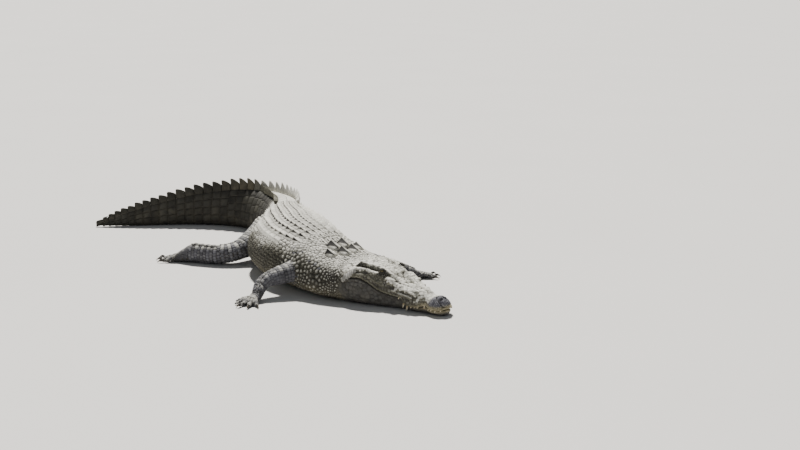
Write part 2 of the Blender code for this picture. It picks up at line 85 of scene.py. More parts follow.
# Head: distance, half widths at lip, cheek and brow, heights of brow, midline and mouth line,
# and the half width of the lower jaw.
HEAD = (
    (0.000, 0.018, 0.022, 0.012, 0.058, 0.060, 0.043, 0.012),
    (0.006, 0.034, 0.038, 0.022, 0.067, 0.070, 0.040, 0.026),
    (0.018, 0.051, 0.056, 0.034, 0.079, 0.082, 0.037, 0.040),
    (0.045, 0.067, 0.072, 0.045, 0.099, 0.099, 0.034, 0.053),
    (0.085, 0.072, 0.077, 0.046, 0.108, 0.104, 0.034, 0.059),
    (0.125, 0.058, 0.062, 0.042, 0.112, 0.104, 0.046, 0.064),
    (0.180, 0.082, 0.087, 0.050, 0.130, 0.118, 0.031, 0.068),
    (0.245, 0.092, 0.097, 0.054, 0.145, 0.128, 0.032, 0.078),
    (0.290, 0.097, 0.103, 0.058, 0.153, 0.134, 0.074, 0.090),
    (0.340, 0.107, 0.113, 0.064, 0.180, 0.150, 0.080, 0.106),
    (0.390, 0.122, 0.128, 0.071, 0.208, 0.174, 0.091, 0.126),
    (0.435, 0.138, 0.144, 0.078, 0.230, 0.194, 0.109, 0.148),
    (0.490, 0.158, 0.164, 0.083, 0.238, 0.212, 0.145, 0.176),
    (0.550, 0.178, 0.184, 0.090, 0.243, 0.228, 0.168, 0.202),
    (0.605, 0.192, 0.199, 0.099, 0.248, 0.236, 0.164, 0.218),
    (0.645, 0.200, 0.207, 0.104, 0.240, 0.238, 0.156, 0.226),
    (0.680, 0.202, 0.210, 0.110, 0.236, 0.240, 0.146, 0.230),
)
# Eye: distance, side, height.
EYE = (0.436, 0.085, 0.208)
EYE_RADIUS = 0.021
# Teeth: distance, length.
UPPER_TEETH = (
    (0.014, 0.007), (0.042, 0.009), (0.070, 0.006), (0.092, 0.004),
    (0.165, 0.006), (0.185, 0.004), (0.207, 0.007), (0.236, 0.030), (0.262, 0.027), (0.295, 0.008),
)
LOWER_TEETH = ((0.125, 0.030),)
# Tail crest: distance, height of a scute, distance of its row from the midline.
CREST = (
    (2.03, 0.020, 0.075), (2.20, 0.045, 0.078), (2.45, 0.068, 0.060), (2.68, 0.078, 0.030),
    (2.84, 0.082, 0.000), (3.20, 0.078, 0.000), (3.60, 0.062, 0.000), (4.00, 0.036, 0.000),
    (4.20, 0.012, 0.000),
)
# By distance, the share of a flap's height that is left at its front, and the length of a whorl.
NOTCHES = ((2.00, 0.05), (2.60, 0.20), (2.90, 0.55), (4.20, 0.55))
WHORLS = ((2.03, 0.056), (2.50, 0.070), (2.90, 0.080), (3.60, 0.068), (4.20, 0.040))
SHORTEST_WHORL = 0.015
# Share of a flap's length at which it is highest, and the first whorl with one flap for two.
CREST_PEAK = 0.80
SINGLE_CREST_FROM = 12
# Neck shield: distance, side, length, width, height of the keel.
NECK_SHIELD = (
    (0.790, 0.040, 0.084, 0.070, 0.036), (0.790, -0.040, 0.084, 0.070, 0.036),
    (0.878, 0.043, 0.088, 0.074, 0.036), (0.878, -0.043, 0.088, 0.074, 0.036),
    (0.832, 0.116, 0.074, 0.056, 0.028), (0.832, -0.116, 0.074, 0.056, 0.028),
)
# Legs: places of shoulder or hip, elbow or knee, and wrist or heel from the snout's tip, half
# widths and half heights at the knots' shares of the leg, where the foot heads, and its digits.
LIMB_KNOTS = (0.0, 0.22, 0.45, 1.0)
LIMBS = {
    "fore_right": {
        "joints": ((-0.38, 0.925, 0.160), (-0.702, 0.962, 0.112), (-0.768, 0.900, 0.048)),
        "wide": (0.135, 0.070, 0.056, 0.040), "tall": (0.115, 0.062, 0.050, 0.034),
        "heading": (-0.90, -0.30), "digits": 5,
    },
    "fore_left": {
        "joints": ((-0.09, 0.985, 0.160), (0.195, 0.905, 0.095), (0.315, 0.815, 0.048)),
        "wide": (0.135, 0.070, 0.056, 0.040), "tall": (0.115, 0.062, 0.050, 0.034),
        "heading": (0.98, 0.12), "digits": 5,
    },
    "hind_right": {
        "joints": ((-0.16, 1.880, 0.185), (-0.500, 1.812, 0.064), (-0.672, 2.045, 0.070)),
        "wide": (0.150, 0.094, 0.074, 0.062), "tall": (0.125, 0.082, 0.064, 0.068),
        "heading": (-0.66, 0.75), "digits": 4,
    },
    "hind_left": {
        "joints": ((-0.02, 1.760, 0.185), (0.300, 1.680, 0.064), (0.372, 1.945, 0.070)),
        "wide": (0.150, 0.094, 0.074, 0.062), "tall": (0.125, 0.082, 0.064, 0.068),
        "heading": (0.24, 0.97), "digits": 4,
    },
}
# Feet, by their number of digits: the palm's length, half width and height, a digit's radius,
# a claw's length, and each digit's length and its spread in degrees.
PALMS = {
    5: {"length": 0.075, "half": 0.050, "tall": 0.036, "radius": 0.0135, "claw": 0.034,
        "digits": ((0.070, 56), (0.092, 28), (0.100, 4), (0.088, -22), (0.066, -50))},
    4: {"length": 0.110, "half": 0.054, "tall": 0.060, "radius": 0.0155, "claw": 0.040,
        "digits": ((0.100, 20), (0.128, 6), (0.140, -8), (0.125, -22))},
}
CLAWED_DIGITS = 3
# Rings of a palm: share of its length, and of the way to its full width and its half height.
PALM_RINGS = ((0.40, 0.35, 0.30), (0.75, 0.75, 0.66), (1.00, 1.00, 0.90), (1.16, 0.80, 1.10))
SOLE_HEIGHT = 0.92
KNUCKLE_OVERLAP = 0.012
# Thickness down a digit: share of its length, share of its radius.
DIGIT_RINGS = ((0.0, 1.0), (0.50, 1.05), (1.0, 0.72))
DIGIT_ARCH = 0.55
CLAW_SHARE = 0.62

FLESH = [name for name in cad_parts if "claw" not in name and not name.startswith("eye")]
# How far the tubes of flesh lie inside the real surface, how far to each side the head reaches,
# how far rays start from the skin, and the lowest points of limbs and scales.
SKIN_DEPTH = 0.004
HEAD_DEPTH = 0.0015
HEAD_HALF = 0.26
SKIN_REACH = 0.03
RING_FLOOR = 0.0015
SCALE_FLOOR = 0.0003
UP = np.array([0.0, 0.0, 1.0])
# What the steps hand on to each other: the skin, its search trees, its markings and the hides.
MADE = {}


# ---------------------------------------------------------------- curves and noise
class Curve:
    """A function through (distance, value) stations that never overshoots between them."""

    def __init__(self, stations, column=1):
        rows = np.array(stations, float)
        self.x, self.y = rows[:, 0], rows[:, column]
        self.step = np.diff(self.x)
        slope = np.diff(self.y) / self.step
        self.tangent = np.concatenate(([slope[0]], np.zeros(len(slope) - 1), [slope[-1]]))
        for i in range(1, len(slope)):
            if slope[i - 1] * slope[i] > 0:
                self.tangent[i] = 2 / (1 / slope[i - 1] + 1 / slope[i])

    def __call__(self, at):
        at = np.asarray(at, float)
        i = np.clip(np.searchsorted(self.x, at) - 1, 0, len(self.step) - 1)
        t = np.clip((at - self.x[i]) / self.step[i], 0.0, 1.0)
        rise = self.y[i] * (1 + 2 * t) * (1 - t) ** 2 + self.y[i + 1] * t * t * (3 - 2 * t)
        lean = self.step[i] * t * (1 - t)
        return rise + lean * (self.tangent[i] * (1 - t) - self.tangent[i + 1] * t)


def curves(table):
    return [Curve(table, column) for column in range(1, len(table[0]))]


BODY_HALF, BODY_TOP, BODY_WAIST = curves(BODY)
SQUARE, PRESS, TURN = Curve(SQUARENESS), Curve(PRESSED), Curve(TURNS)
LIP, CHEEK, BROW, BROW_TOP, MIDLINE, GAPE, JAW = curves(HEAD)
CREST_HEIGHT, CREST_SIDE = curves(CREST)
WHORL_LENGTH, CREST_VALLEY = Curve(WHORLS), Curve(NOTCHES)

SPINE_AT = np.arange(0.0, TOTAL_LENGTH + SPINE_STEP / 2, SPINE_STEP)
SPINE_TURN = np.radians(TURN(SPINE_AT))
SPINE_BACK = np.stack([np.sin(SPINE_TURN), np.cos(SPINE_TURN)], axis=1)
SPINE_LINE = np.concatenate(
    [[SNOUT], SNOUT + np.cumsum((SPINE_BACK[1:] + SPINE_BACK[:-1]) / 2 * SPINE_STEP, axis=0)]
)
HEAD_TURN = math.radians(TURNS[0][1])
AHEAD = np.array([-math.sin(HEAD_TURN), -math.cos(HEAD_TURN), 0.0])
RIGHT = np.array([-math.cos(HEAD_TURN), math.sin(HEAD_TURN), 0.0])


def place(s, side, height):
    """Points at distances behind the snout, out to the animal's right, and over the floor."""
    turn = np.interp(s, SPINE_AT, SPINE_TURN)
    x = np.interp(s, SPINE_AT, SPINE_LINE[:, 0])
    y = np.interp(s, SPINE_AT, SPINE_LINE[:, 1])
    x, y, z = np.broadcast_arrays(x - np.cos(turn) * side, y + np.sin(turn) * side, height)
    return np.stack([x, y, z], axis=-1)


def smooth(low, high, value):
    """0 below low, 1 above high, and a smooth step between them. low may be the larger."""
    t = np.clip((value - low) / (high - low), 0.0, 1.0)
    return t * t * (3 - 2 * t)


def noise(points, size, seed=0):
    """Smooth noise from 0 to 1 with lumps of about this size."""
    grid = np.asarray(points, float) / size + seed * 17.31
    cell = np.floor(grid).astype(np.int64)
    part = grid - cell
    part = part * part * (3 - 2 * part)
    total = np.zeros(len(grid))
    for corner in range(8):
        offset = np.array([corner & 1, corner >> 1 & 1, corner >> 2 & 1])
        key = cell + offset
        mixed = key[:, 0] * 374761393 + key[:, 1] * 668265263 + key[:, 2] * 1274126177
        mixed = (mixed ^ (mixed >> 13)) * 1103515245 & 0xFFFFFFFF
        value = ((mixed ^ (mixed >> 16)) & 0xFFFF) / 65535
        weight = np.where(offset == 1, part, 1 - part).prod(axis=1)
        total += value * weight
    return total


def run_of(points):
    """Length of a line of points up to each of them."""
    return np.concatenate(([0.0], np.cumsum(np.linalg.norm(np.diff(points, axis=0), axis=1))))


def columns_at(at, run, table):
    """Each column of a table, read at these places of a run."""
    return np.stack([np.interp(at, run, column) for column in table.T], axis=-1)


def unit(vectors):
    length = np.linalg.norm(vectors, axis=-1, keepdims=True)
    return vectors / np.maximum(length, 1e-9)


# ---------------------------------------------------------------- charts of the surface
# Places across a chart's half section, and how far to each side its directions are measured.
SHARES = 81
AXIS_REACH = 0.004


def chart_row(side, high):
    """A half section from the top to the bottom at even arc shares, and its length."""
    run = np.concatenate(([0.0], np.cumsum(np.hypot(np.diff(side), np.diff(high)))))
    share = np.linspace(0.0, run[-1], SHARES)
    return np.interp(share, run, side), np.interp(share, run, high), run[-1]


def body_row(s, shrink):
    """Half section of neck, trunk or tail at this distance."""
    angle = np.linspace(0.0, math.pi, 241)
    less = min(shrink, 0.35 * float(BODY_HALF(s)))
    half, top, waist = BODY_HALF(s) - less, BODY_TOP(s) - less, BODY_WAIST(s)
    above = np.cos(angle) >= 0
    reach = np.where(above, top - waist, waist + PRESS(s) - less)
    power = np.where(above, SQUARE(s), 2.0)
    side = half * np.abs(np.sin(angle)) ** (2 / power)
    high = waist + reach * np.sign(np.cos(angle)) * np.abs(np.cos(angle)) ** (2 / power)
    return chart_row(side, np.maximum(high, 0.0022))


def round_off(points, times):
    """Corner cutting of an open line whose ends stay."""
    for _ in range(times):
        near = points[:-1] * 0.75 + points[1:] * 0.25
        far = points[:-1] * 0.25 + points[1:] * 0.75
        points = np.concatenate([points[:1], np.stack([near, far], 1).reshape(-1, 2), points[-1:]])
    return points


def head_row(d, shrink):
    """Half section of the head at this distance."""
    mouth = GAPE(d)
    rise = BROW_TOP(d) - mouth
    line = np.array([
        (0.0, MIDLINE(d)), (0.55 * BROW(d), MIDLINE(d) + 0.35 * (BROW_TOP(d) - MIDLINE(d))),
        (BROW(d), BROW_TOP(d)), (0.42 * CHEEK(d) + 0.58 * BROW(d), mouth + 0.78 * rise),
        (CHEEK(d), mouth + 0.30 * rise), (LIP(d), mouth), (0.93 * JAW(d), mouth - 0.001),
        (JAW(d), 0.52 * mouth), (0.90 * JAW(d), 0.14 * mouth), (0.62 * JAW(d), 0.0), (0.0, 0.0),
    ])
    line = round_off(line, 3)
    less = np.array([min(shrink, 0.3 * float(JAW(d))), shrink])
    centre = np.array([0.0, 0.5 * MIDLINE(d)])
    line = centre + (line - centre) * (1 - less / np.array([CHEEK(d), centre[1]]))
    return chart_row(line[:, 0], np.maximum(line[:, 1], 0.0015))


class Chart:
    """A tube of flesh as a map: places on it by distance behind the snout and arc from the top."""

    def __init__(self, stations, row, shrink):
        self.s = np.asarray(stations, float)
        rows = [row(float(s), shrink) for s in self.s]
        self.side = np.array([r[0] for r in rows])
        self.high = np.array([r[1] for r in rows])
        self.girth = np.array([r[2] for r in rows])

    def half_girth(self, s):
        return np.interp(s, self.s, self.girth)

    def flat(self, s, arc):
        """Side and height of places given by distance and arc, right of the midline positive."""
        s, arc = np.broadcast_arrays(np.asarray(s, float), np.asarray(arc, float))
        share = np.clip(np.abs(arc) / self.half_girth(s), 0.0, 1.0) * (SHARES - 1)
        k = np.clip(np.interp(s, self.s, np.arange(len(self.s))), 0, len(self.s) - 1.001)
        row, column = k.astype(int), np.minimum(share.astype(int), SHARES - 2)
        down, across = k - row, share - column
        found = []
        for table in (self.side, self.high):
            near = table[row, column] * (1 - across) + table[row, column + 1] * across
            far = table[row + 1, column] * (1 - across) + table[row + 1, column + 1] * across
            found.append(near * (1 - down) + far * down)
        return found[0] * np.sign(arc + 1e-12), found[1]

    def at(self, s, arc):
        side, high = self.flat(s, arc)
        return place(s, side, high)

    def axes(self, s, arc):
        """Directions along (tailwards), around (to the right) and out of the surface."""
        along = unit(self.at(s + AXIS_REACH, arc) - self.at(s - AXIS_REACH, arc))
        around = unit(self.at(s, arc + AXIS_REACH) - self.at(s, arc - AXIS_REACH))
        out = unit(np.cross(along, around))
        return along, unit(np.cross(out, along)), out

    def arc_at_height(self, s, height):
        """Arc from the top down to this height on the flank."""
        high = self.high[np.abs(self.s - s).argmin()]
        below = np.nonzero(high <= height)[0]
        share = below[0] if len(below) else SHARES - 1
        return share / (SHARES - 1) * float(self.half_girth(s))


def limb_centres(joints):
    """Centres and directions along a leg, rounded at the elbow or knee, and their half sizes."""
    root, middle, end = np.array([*SNOUT, 0.0]) + joints
    before, after = middle + (root - middle) * 0.35, middle + (end - middle) * 0.50
    found = [(root + (before - root) * t, middle - root) for t in (0.0, 0.5)]
    for t in np.linspace(0, 1, 5):
        where = before * (1 - t) ** 2 + middle * 2 * t * (1 - t) + after * t * t
        found.append((where, (middle - before) * (1 - t) + (after - middle) * t))
    found.append((end, end - middle))
    return np.array([f[0] for f in found]), unit(np.array([f[1] for f in found]))


def section_axes(along):
    """Directions across a limb and up in its section."""
    across = unit(np.cross(along, UP))
    return across, unit(np.cross(across, along))


def limb_stations(limb, count=40):
    """Centre, direction, half width and half height at even steps down a leg."""
    centres, along = limb_centres(limb["joints"])
    knots = np.arange(len(centres))
    at = np.linspace(0, len(centres) - 1, count)
    centre, smoothed = columns_at(at, knots, centres), unit(columns_at(at, knots, along))
    share = at / (len(centres) - 1)
    wide = Curve(list(zip(LIMB_KNOTS, limb["wide"])))(share)
    tall = Curve(list(zip(LIMB_KNOTS, limb["tall"])))(share)
    return centre, smoothed, wide, tall


def palm_frame(limb):
    """Centre of a palm, where it heads, and the direction across it towards its first digit."""
    centre = np.array([*SNOUT, 0.0]) + limb["joints"][2]
    heading = unit(np.array([*limb["heading"], 0.0]))
    across = np.array([heading[1], -heading[0], 0.0])
    return centre, heading, -across if across[1] > 0 else across


def digit_lines(limb):
    """For each digit its base, direction and length."""
    palm = PALMS[limb["digits"]]
    centre, heading, across = palm_frame(limb)
    count = len(palm["digits"])
    found = []
    for i, (length, spread) in enumerate(palm["digits"]):
        turn = math.radians(spread)
        along = unit(heading * math.cos(turn) + across * math.sin(turn))
        offset = (1 - 2 * i / (count - 1)) * (palm["half"] - palm["radius"] * 0.9)
        base = centre + heading * (palm["length"] - KNUCKLE_OVERLAP) + across * offset
        found.append((base, along, length))
    return found


def digit_stations(palm, base, along, length, count=9):
    """Centre, direction, half width and half height at even steps down a digit."""
    share = np.linspace(0, 1, count)
    thick = np.interp(share, [r[0] for r in DIGIT_RINGS], [r[1] for r in DIGIT_RINGS])
    joints = 1 + 0.07 * np.cos(share * math.pi * 6)
    tall = palm["radius"] * thick * joints
    centre = base + along * length * share[:, None]
    arch = palm["tall"] * (1 - share) ** 1.6 * DIGIT_ARCH
    centre[:, 2] = tall * SOLE_HEIGHT + arch
    return centre, np.repeat(along[None], count, axis=0), tall, tall


def palm_stations(limb):
    """The same for a palm, from the wrist or heel to its knuckles."""
    palm = PALMS[limb["digits"]]
    centre, heading, _ = palm_frame(limb)
    wide, tall = limb["wide"][-1], limb["tall"][-1]
    rows = [(centre - heading * 0.01, wide, tall)]
    for share, spread, thin in PALM_RINGS:
        at = centre + heading * palm["length"] * share
        thick = tall + (palm["tall"] / 2 - tall) * thin
        at[2] = thick * SOLE_HEIGHT
        rows.append((at, wide + (palm["half"] - wide) * spread, thick))
    centres = np.array([r[0] for r in rows])
    along = np.repeat(heading[None], len(rows), axis=0)
    return centres, along, np.array([r[1] for r in rows]), np.array([r[2] for r in rows])


def tube_rings(stations, sides=20):
    """Rings of points round a run of stations, kept off the floor."""
    centre, along, wide, tall = stations
    across, up = section_axes(along)
    turn = 2 * math.pi * (np.arange(sides) + 0.5) / sides
    rings = (
        centre[:, None]
        + across[:, None] * (wide[:, None] * np.cos(turn))[..., None]
        + up[:, None] * (tall[:, None] * np.sin(turn))[..., None]
    )
    rings[..., 2] = np.maximum(rings[..., 2], RING_FLOOR)
    return rings


BODY_STEPS = np.append(np.arange(0.64, TOTAL_LENGTH, 0.01), TOTAL_LENGTH)
HEAD_STEPS = np.append(np.arange(0.0, 0.02, 0.003), np.arange(0.02, 0.6801, 0.006))
BODY_CHART = Chart(BODY_STEPS, body_row, SKIN_DEPTH)
HEAD_CHART = Chart(HEAD_STEPS, head_row, HEAD_DEPTH)
BODY_PART, LEG_PART, FOOT_PART = 0, 1, 2


# ---------------------------------------------------------------- Blender helpers
def deselect():
    if bpy.context.object and bpy.context.object.mode != "OBJECT":
        bpy.ops.object.mode_set(mode="OBJECT")
    bpy.ops.object.select_all(action="DESELECT")


def activate(obj):
    deselect()
    obj.select_set(True)
    bpy.context.view_layer.objects.active = obj
    return obj


def apply_modifier(obj, kind, **settings):
    activate(obj)
    modifier = obj.modifiers.new(kind, kind)
    for name, value in settings.items():
        setattr(modifier, name, value)
    bpy.ops.object.modifier_apply(modifier=modifier.name)


def read(rows, name, width=1, kind=float):
    """A property of all vertices, edges or faces of a mesh, as one array."""
    values = np.empty(len(rows) * width, kind)
    rows.foreach_get(name, values)
    return values.reshape(-1, width) if width > 1 else values


def coordinates(mesh):
    return read(mesh.vertices, "co", 3)


def normals(mesh):
    return read(mesh.vertex_normals, "vector", 3)


def set_coordinates(mesh, points):
    mesh.vertices.foreach_set("co", np.ascontiguousarray(points, np.float32).ravel())
    mesh.update()


def set_attribute(mesh, name, values):
    layer = mesh.attributes.new(name, "FLOAT", "POINT")
    layer.data.foreach_set("value", np.ascontiguousarray(values, np.float32))


def link(name, data):
    """A new object of the scene for this mesh, light or camera."""
    obj = bpy.data.objects.new(name, data)
    bpy.context.scene.collection.objects.link(obj)
    return obj


def named(name):
    """The object just made, under a name of its own."""
    obj = bpy.context.object
    obj.name = obj.data.name = name
    return obj


def ball(name, sides, rings, radius=1.0):
    """A round mesh whose poles lie on its z axis, for shaping."""
    deselect()
    bpy.ops.mesh.primitive_uv_sphere_add(segments=sides, ring_count=rings, radius=radius)
    return named(name)


def face_outward(obj):
    """Turn the faces of a closed mesh outward and shade them smooth."""
    activate(obj)
    bpy.ops.object.mode_set(mode="EDIT")
    bpy.ops.mesh.select_all(action="SELECT")
    bpy.ops.mesh.normals_make_consistent(inside=False)
    bpy.ops.object.mode_set(mode="OBJECT")
    bpy.ops.object.shade_smooth()


def search_tree(points):
    tree = KDTree(len(points))
    for i, point in enumerate(points.tolist()):
        tree.insert(point, i)
    tree.balance()
    return tree


def nearest(tree, points):
    """The index of the nearest of a tree's points to each of these."""
    return np.array([tree.find(point)[1] for point in points.tolist()])


def tube_faces(shape, start):
    """Faces of a closed tube of rings, with a cap at each end. Its points begin at start."""
    at = start + np.arange(math.prod(shape)).reshape(shape)
    turned = np.roll(at, -1, axis=1)
    walls = np.stack([at[:-1], turned[:-1], turned[1:], at[1:]], axis=-1)
    return walls.reshape(-1, 4).tolist() + [at[0, ::-1].tolist(), at[-1].tolist()]


def finish_piece(obj, material, slot, *nodes):
    """Give a piece its material, body and slot, and name the frame's nodes it replaces."""
    obj.data.materials.clear()
    obj.data.materials.append(material)
    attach(obj, "root")
    if nodes:
        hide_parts(*nodes)
    return obj


# ---------------------------------------------------------------- markings
# Line of the painted shadow under the ledge of the skull table, over and behind the eye: (distance, side)
# points.
LEDGE_SHADOW_LINE = ((0.612, 0.116), (0.545, 0.113), (0.490, 0.104), (0.440, 0.098), (0.405, 0.090))


def markings(points, out, part, s, hollow=0.0):
    """How dusty, dark, yellowish and blue the hide is at each place, from 0 to 1."""
    up = out[:, 2]
    height, part, s = np.broadcast_arrays(points[:, 2], part, s)
    patch, spot, fine = noise(points, 0.17, 5), noise(points, 0.034, 3), noise(points, 0.012, 7)
    blocks = noise(np.stack([s * 0.8, height * 0.8, part * 1.0], 1), 0.090, 9)
    body = (part == BODY_PART).astype(float)
    legs = 1 - body
    tail = smooth(2.03, 2.16, s) * body
    head = smooth(0.70, 0.62, s) * body
    neck = smooth(0.62, 0.70, s) * smooth(1.16, 0.98, s) * body
    flank = smooth(0.85, 0.35, up) * body * (1 - head)
    # The tail's sides: mostly painted shade, partly the hide's own darkness.
    tail_side_shade = smooth(2.30, 2.48, s) * smooth(0.96, 0.80, up) * body
    bands = 0.5 + 0.5 * np.sin(s * 2 * math.pi / 0.046 + 3.0 * patch)

    # On the head: its own places, the jaw, the nose, the lips, the painted shadow under the skull table's
    # ledge, and the relief's painted shade and highlight.
    d, side, _ = head_places(points)
    over = height - GAPE(d)
    behind = smooth(0.36, 0.44, d)
    # Below the mouth line: painted shade on the lower jaw, with a violet and yellowish tint.
    jaw = head * smooth(0.004, -0.010, over)
    nose = smooth(0.112, 0.078, d) * smooth(0.044, 0.064, height)
    lip = smooth(0.26, 0.10, d) * smooth(0.030, 0.012, np.abs(over - 0.004))
    # Low on the cheek behind the eye: painted shade, with less dust and less highlight.
    cheek = smooth(0.36, 0.42, d) * smooth(0.205, 0.190, height)
    # Painted shadow under the ledge of the skull table.
    ear = near_line(d, np.abs(side), LEDGE_SHADOW_LINE, 0.023) * smooth(0.180, 0.195, height)
    ear = np.clip(1.3 * ear, 0, 1) * smooth(0.97, 0.86, up)
    # Painted shade in the relief's hollows and on the head's downward faces, and painted highlight on its
    # lumps.
    deep = smooth(0.06, 0.50, hollow) * (1 - 0.85 * smooth(0.60, 0.85, up))
    lump_highlight = smooth(-0.10, -0.45, hollow)
    shaded = smooth(0.50 + 0.15 * behind, -0.10 + 0.15 * behind, up) * (1 - lump_highlight)
    shaded = shaded * (0.58 + 0.16 * behind + 0.22 * smooth(0.40, 0.70, patch))
    lump_highlight = lump_highlight * smooth(-0.35, 0.10, up) * smooth(0.012, 0.026, over)

    facing = up + 0.34 * (patch - 0.5) + 0.22 * (fine - 0.5)
    dust = smooth(0.22, 0.90, facing) * (1 - 0.40 * tail * smooth(2.5, 3.0, s)) * (1 - 0.9 * tail_side_shade)
    dust = dust * (1 - head) + head * smooth(0.34, 0.88, facing) * (0.88 + 0.12 * fine)
    dust = dust * (1 - legs) + legs * smooth(0.35, 0.95, facing) * (0.60 - 0.38 * bands)
    dust = np.where(neck > 0, dust * (1 - neck * smooth(0.92, 0.70, up) * 0.6), dust)
    # Painted highlight on the head's lumps, weaker on the cheek.
    dust = np.maximum(dust, 0.85 * head * lump_highlight * (1 - 0.75 * cheek))
    dust = dust * (1 - 0.75 * head * lip)
    # Much less dust on the nose, and in the painted shade of hollows and under the ledge.
    dust = dust * (1 - 0.90 * head * deep) * (1 - head * np.maximum(0.85 * nose, 0.97 * ear))
    # Less dust in the painted shade of the lower jaw and the cheek.
    dust = dust * (1 - 0.8 * jaw) * (1 - 0.45 * head * cheek)

    pale = np.exp(-((height - 0.215) / 0.032) ** 2) * smooth(2.45, 2.55, s) * smooth(3.05, 2.9, s)
    # Dark: spots, blotches and bands of the hide; flanks and the neck's sides darker, more so low down,
    # and legs darker underneath; the tail's sides dark, partly painted shade; painted shade on the head's
    # downward faces, hollows and lower jaw and under the skull table's ledge.
    dusk = np.maximum.reduce([
        flank * smooth(0.54, 0.70, spot) * 0.70 + flank * smooth(0.5, 0.75, patch) * 0.20,
        flank * (1 - tail) * (0.36 + 0.34 * smooth(0.30, 0.12, height)),
        neck * smooth(0.93, 0.70, up) * (0.62 + 0.25 * smooth(0.84, 0.76, s)),
        tail * (0.40 + 0.95 * smooth(0.42, 0.58, blocks)) * smooth(0.92, 0.5, up),
        tail_side_shade * (1.0 + 0.2 * smooth(0.40, 0.60, blocks)) * (1 - 0.40 * pale),
        head * np.maximum(np.maximum(shaded, 0.42 * nose), ear),
        0.92 * head * deep * (1 - jaw),
        jaw * (0.70 + 0.22 * patch),
        legs * (0.22 + 0.50 * smooth(0.35, 0.90, bands) * (0.5 + 0.5 * spot)),
        legs * (0.30 + 0.35 * spot) * smooth(0.65, 0.15, up),
        (part == FOOT_PART) * (0.50 + 0.3 * spot),
    ])
    warm = np.maximum.reduce([
        smooth(0.20, -0.55, up) * smooth(0.16, 0.05, height) * body * (1 - 0.6 * tail) * (1 - head),
        0.35 * flank * smooth(0.42, 0.62, patch) * smooth(0.22, 0.08, height),
        head * np.maximum(lip, 0.30 * jaw * spot),
    ])
    blue = np.maximum(legs * (1 - 0.25 * spot), head * np.maximum(nose, 0.45 * jaw))
    return {"dust": dust, "dusk": np.clip(dusk * (1 - 0.7 * head * lip), 0, 1),
            "warm": np.clip(warm, 0, 1), "blue": np.clip(blue, 0, 1)}


def mark_mesh(mesh, marks, rise, chance):
    for name, values in (marks | {"rise": rise, "chance": chance}).items():
        set_attribute(mesh, name, np.broadcast_to(values, len(mesh.vertices)))


def chart_samples():
    """A cloud of places over the whole animal that knows its part and its distance."""
    points, part, distance = [], [], []
    for chart, low, high, step in ((HEAD_CHART, 0.0, 0.68, 0.012), (BODY_CHART, 0.66, 4.2, 0.02)):
        for s in np.arange(low, high, step):
            arc = np.linspace(-1, 1, 61) * float(chart.half_girth(s))
            points.append(chart.at(np.full(61, s), arc))
            part.append(np.full(61, BODY_PART))
            distance.append(np.full(61, s))
    for limb in LIMBS.values():
        runs = [(limb_stations(limb), LEG_PART), (palm_stations(limb), FOOT_PART)]
        palm = PALMS[limb["digits"]]
        runs += [(digit_stations(palm, *line), FOOT_PART) for line in digit_lines(limb)]
        for stations, kind in runs:
            rings = tube_rings(stations, 12)
            points.append(rings.reshape(-1, 3))
            part.append(np.full(rings.shape[0] * rings.shape[1], kind))
            distance.append(np.repeat(run_of(stations[0]), rings.shape[1]))
    return np.concatenate(points), np.concatenate(part), np.concatenate(distance)


def nearest_samples(points):
    tree, part, distance = MADE["samples"]
    index = nearest(tree, points)
    return part[index], distance[index]


# ---------------------------------------------------------------- materials
CELL_WANDER = 0.35


class Sock:
    """A node's output on which shader maths can be written as ordinary expressions."""

    def __init__(self, nodes, socket):
        self.nodes, self.socket = nodes, socket

    def maths(self, operation, first, second):
        return self.nodes.add("ShaderNodeMath", {"operation": operation}, {0: first, 1: second})

    def __add__(self, other):
        return self.maths("ADD", self, other)

    def __mul__(self, other):
        return self.maths("MULTIPLY", self, other)

    def __sub__(self, other):
        return self.maths("SUBTRACT", self, other)

    def __rsub__(self, other):
        return self.maths("SUBTRACT", other, self)

    __radd__ = __add__
    __rmul__ = __mul__


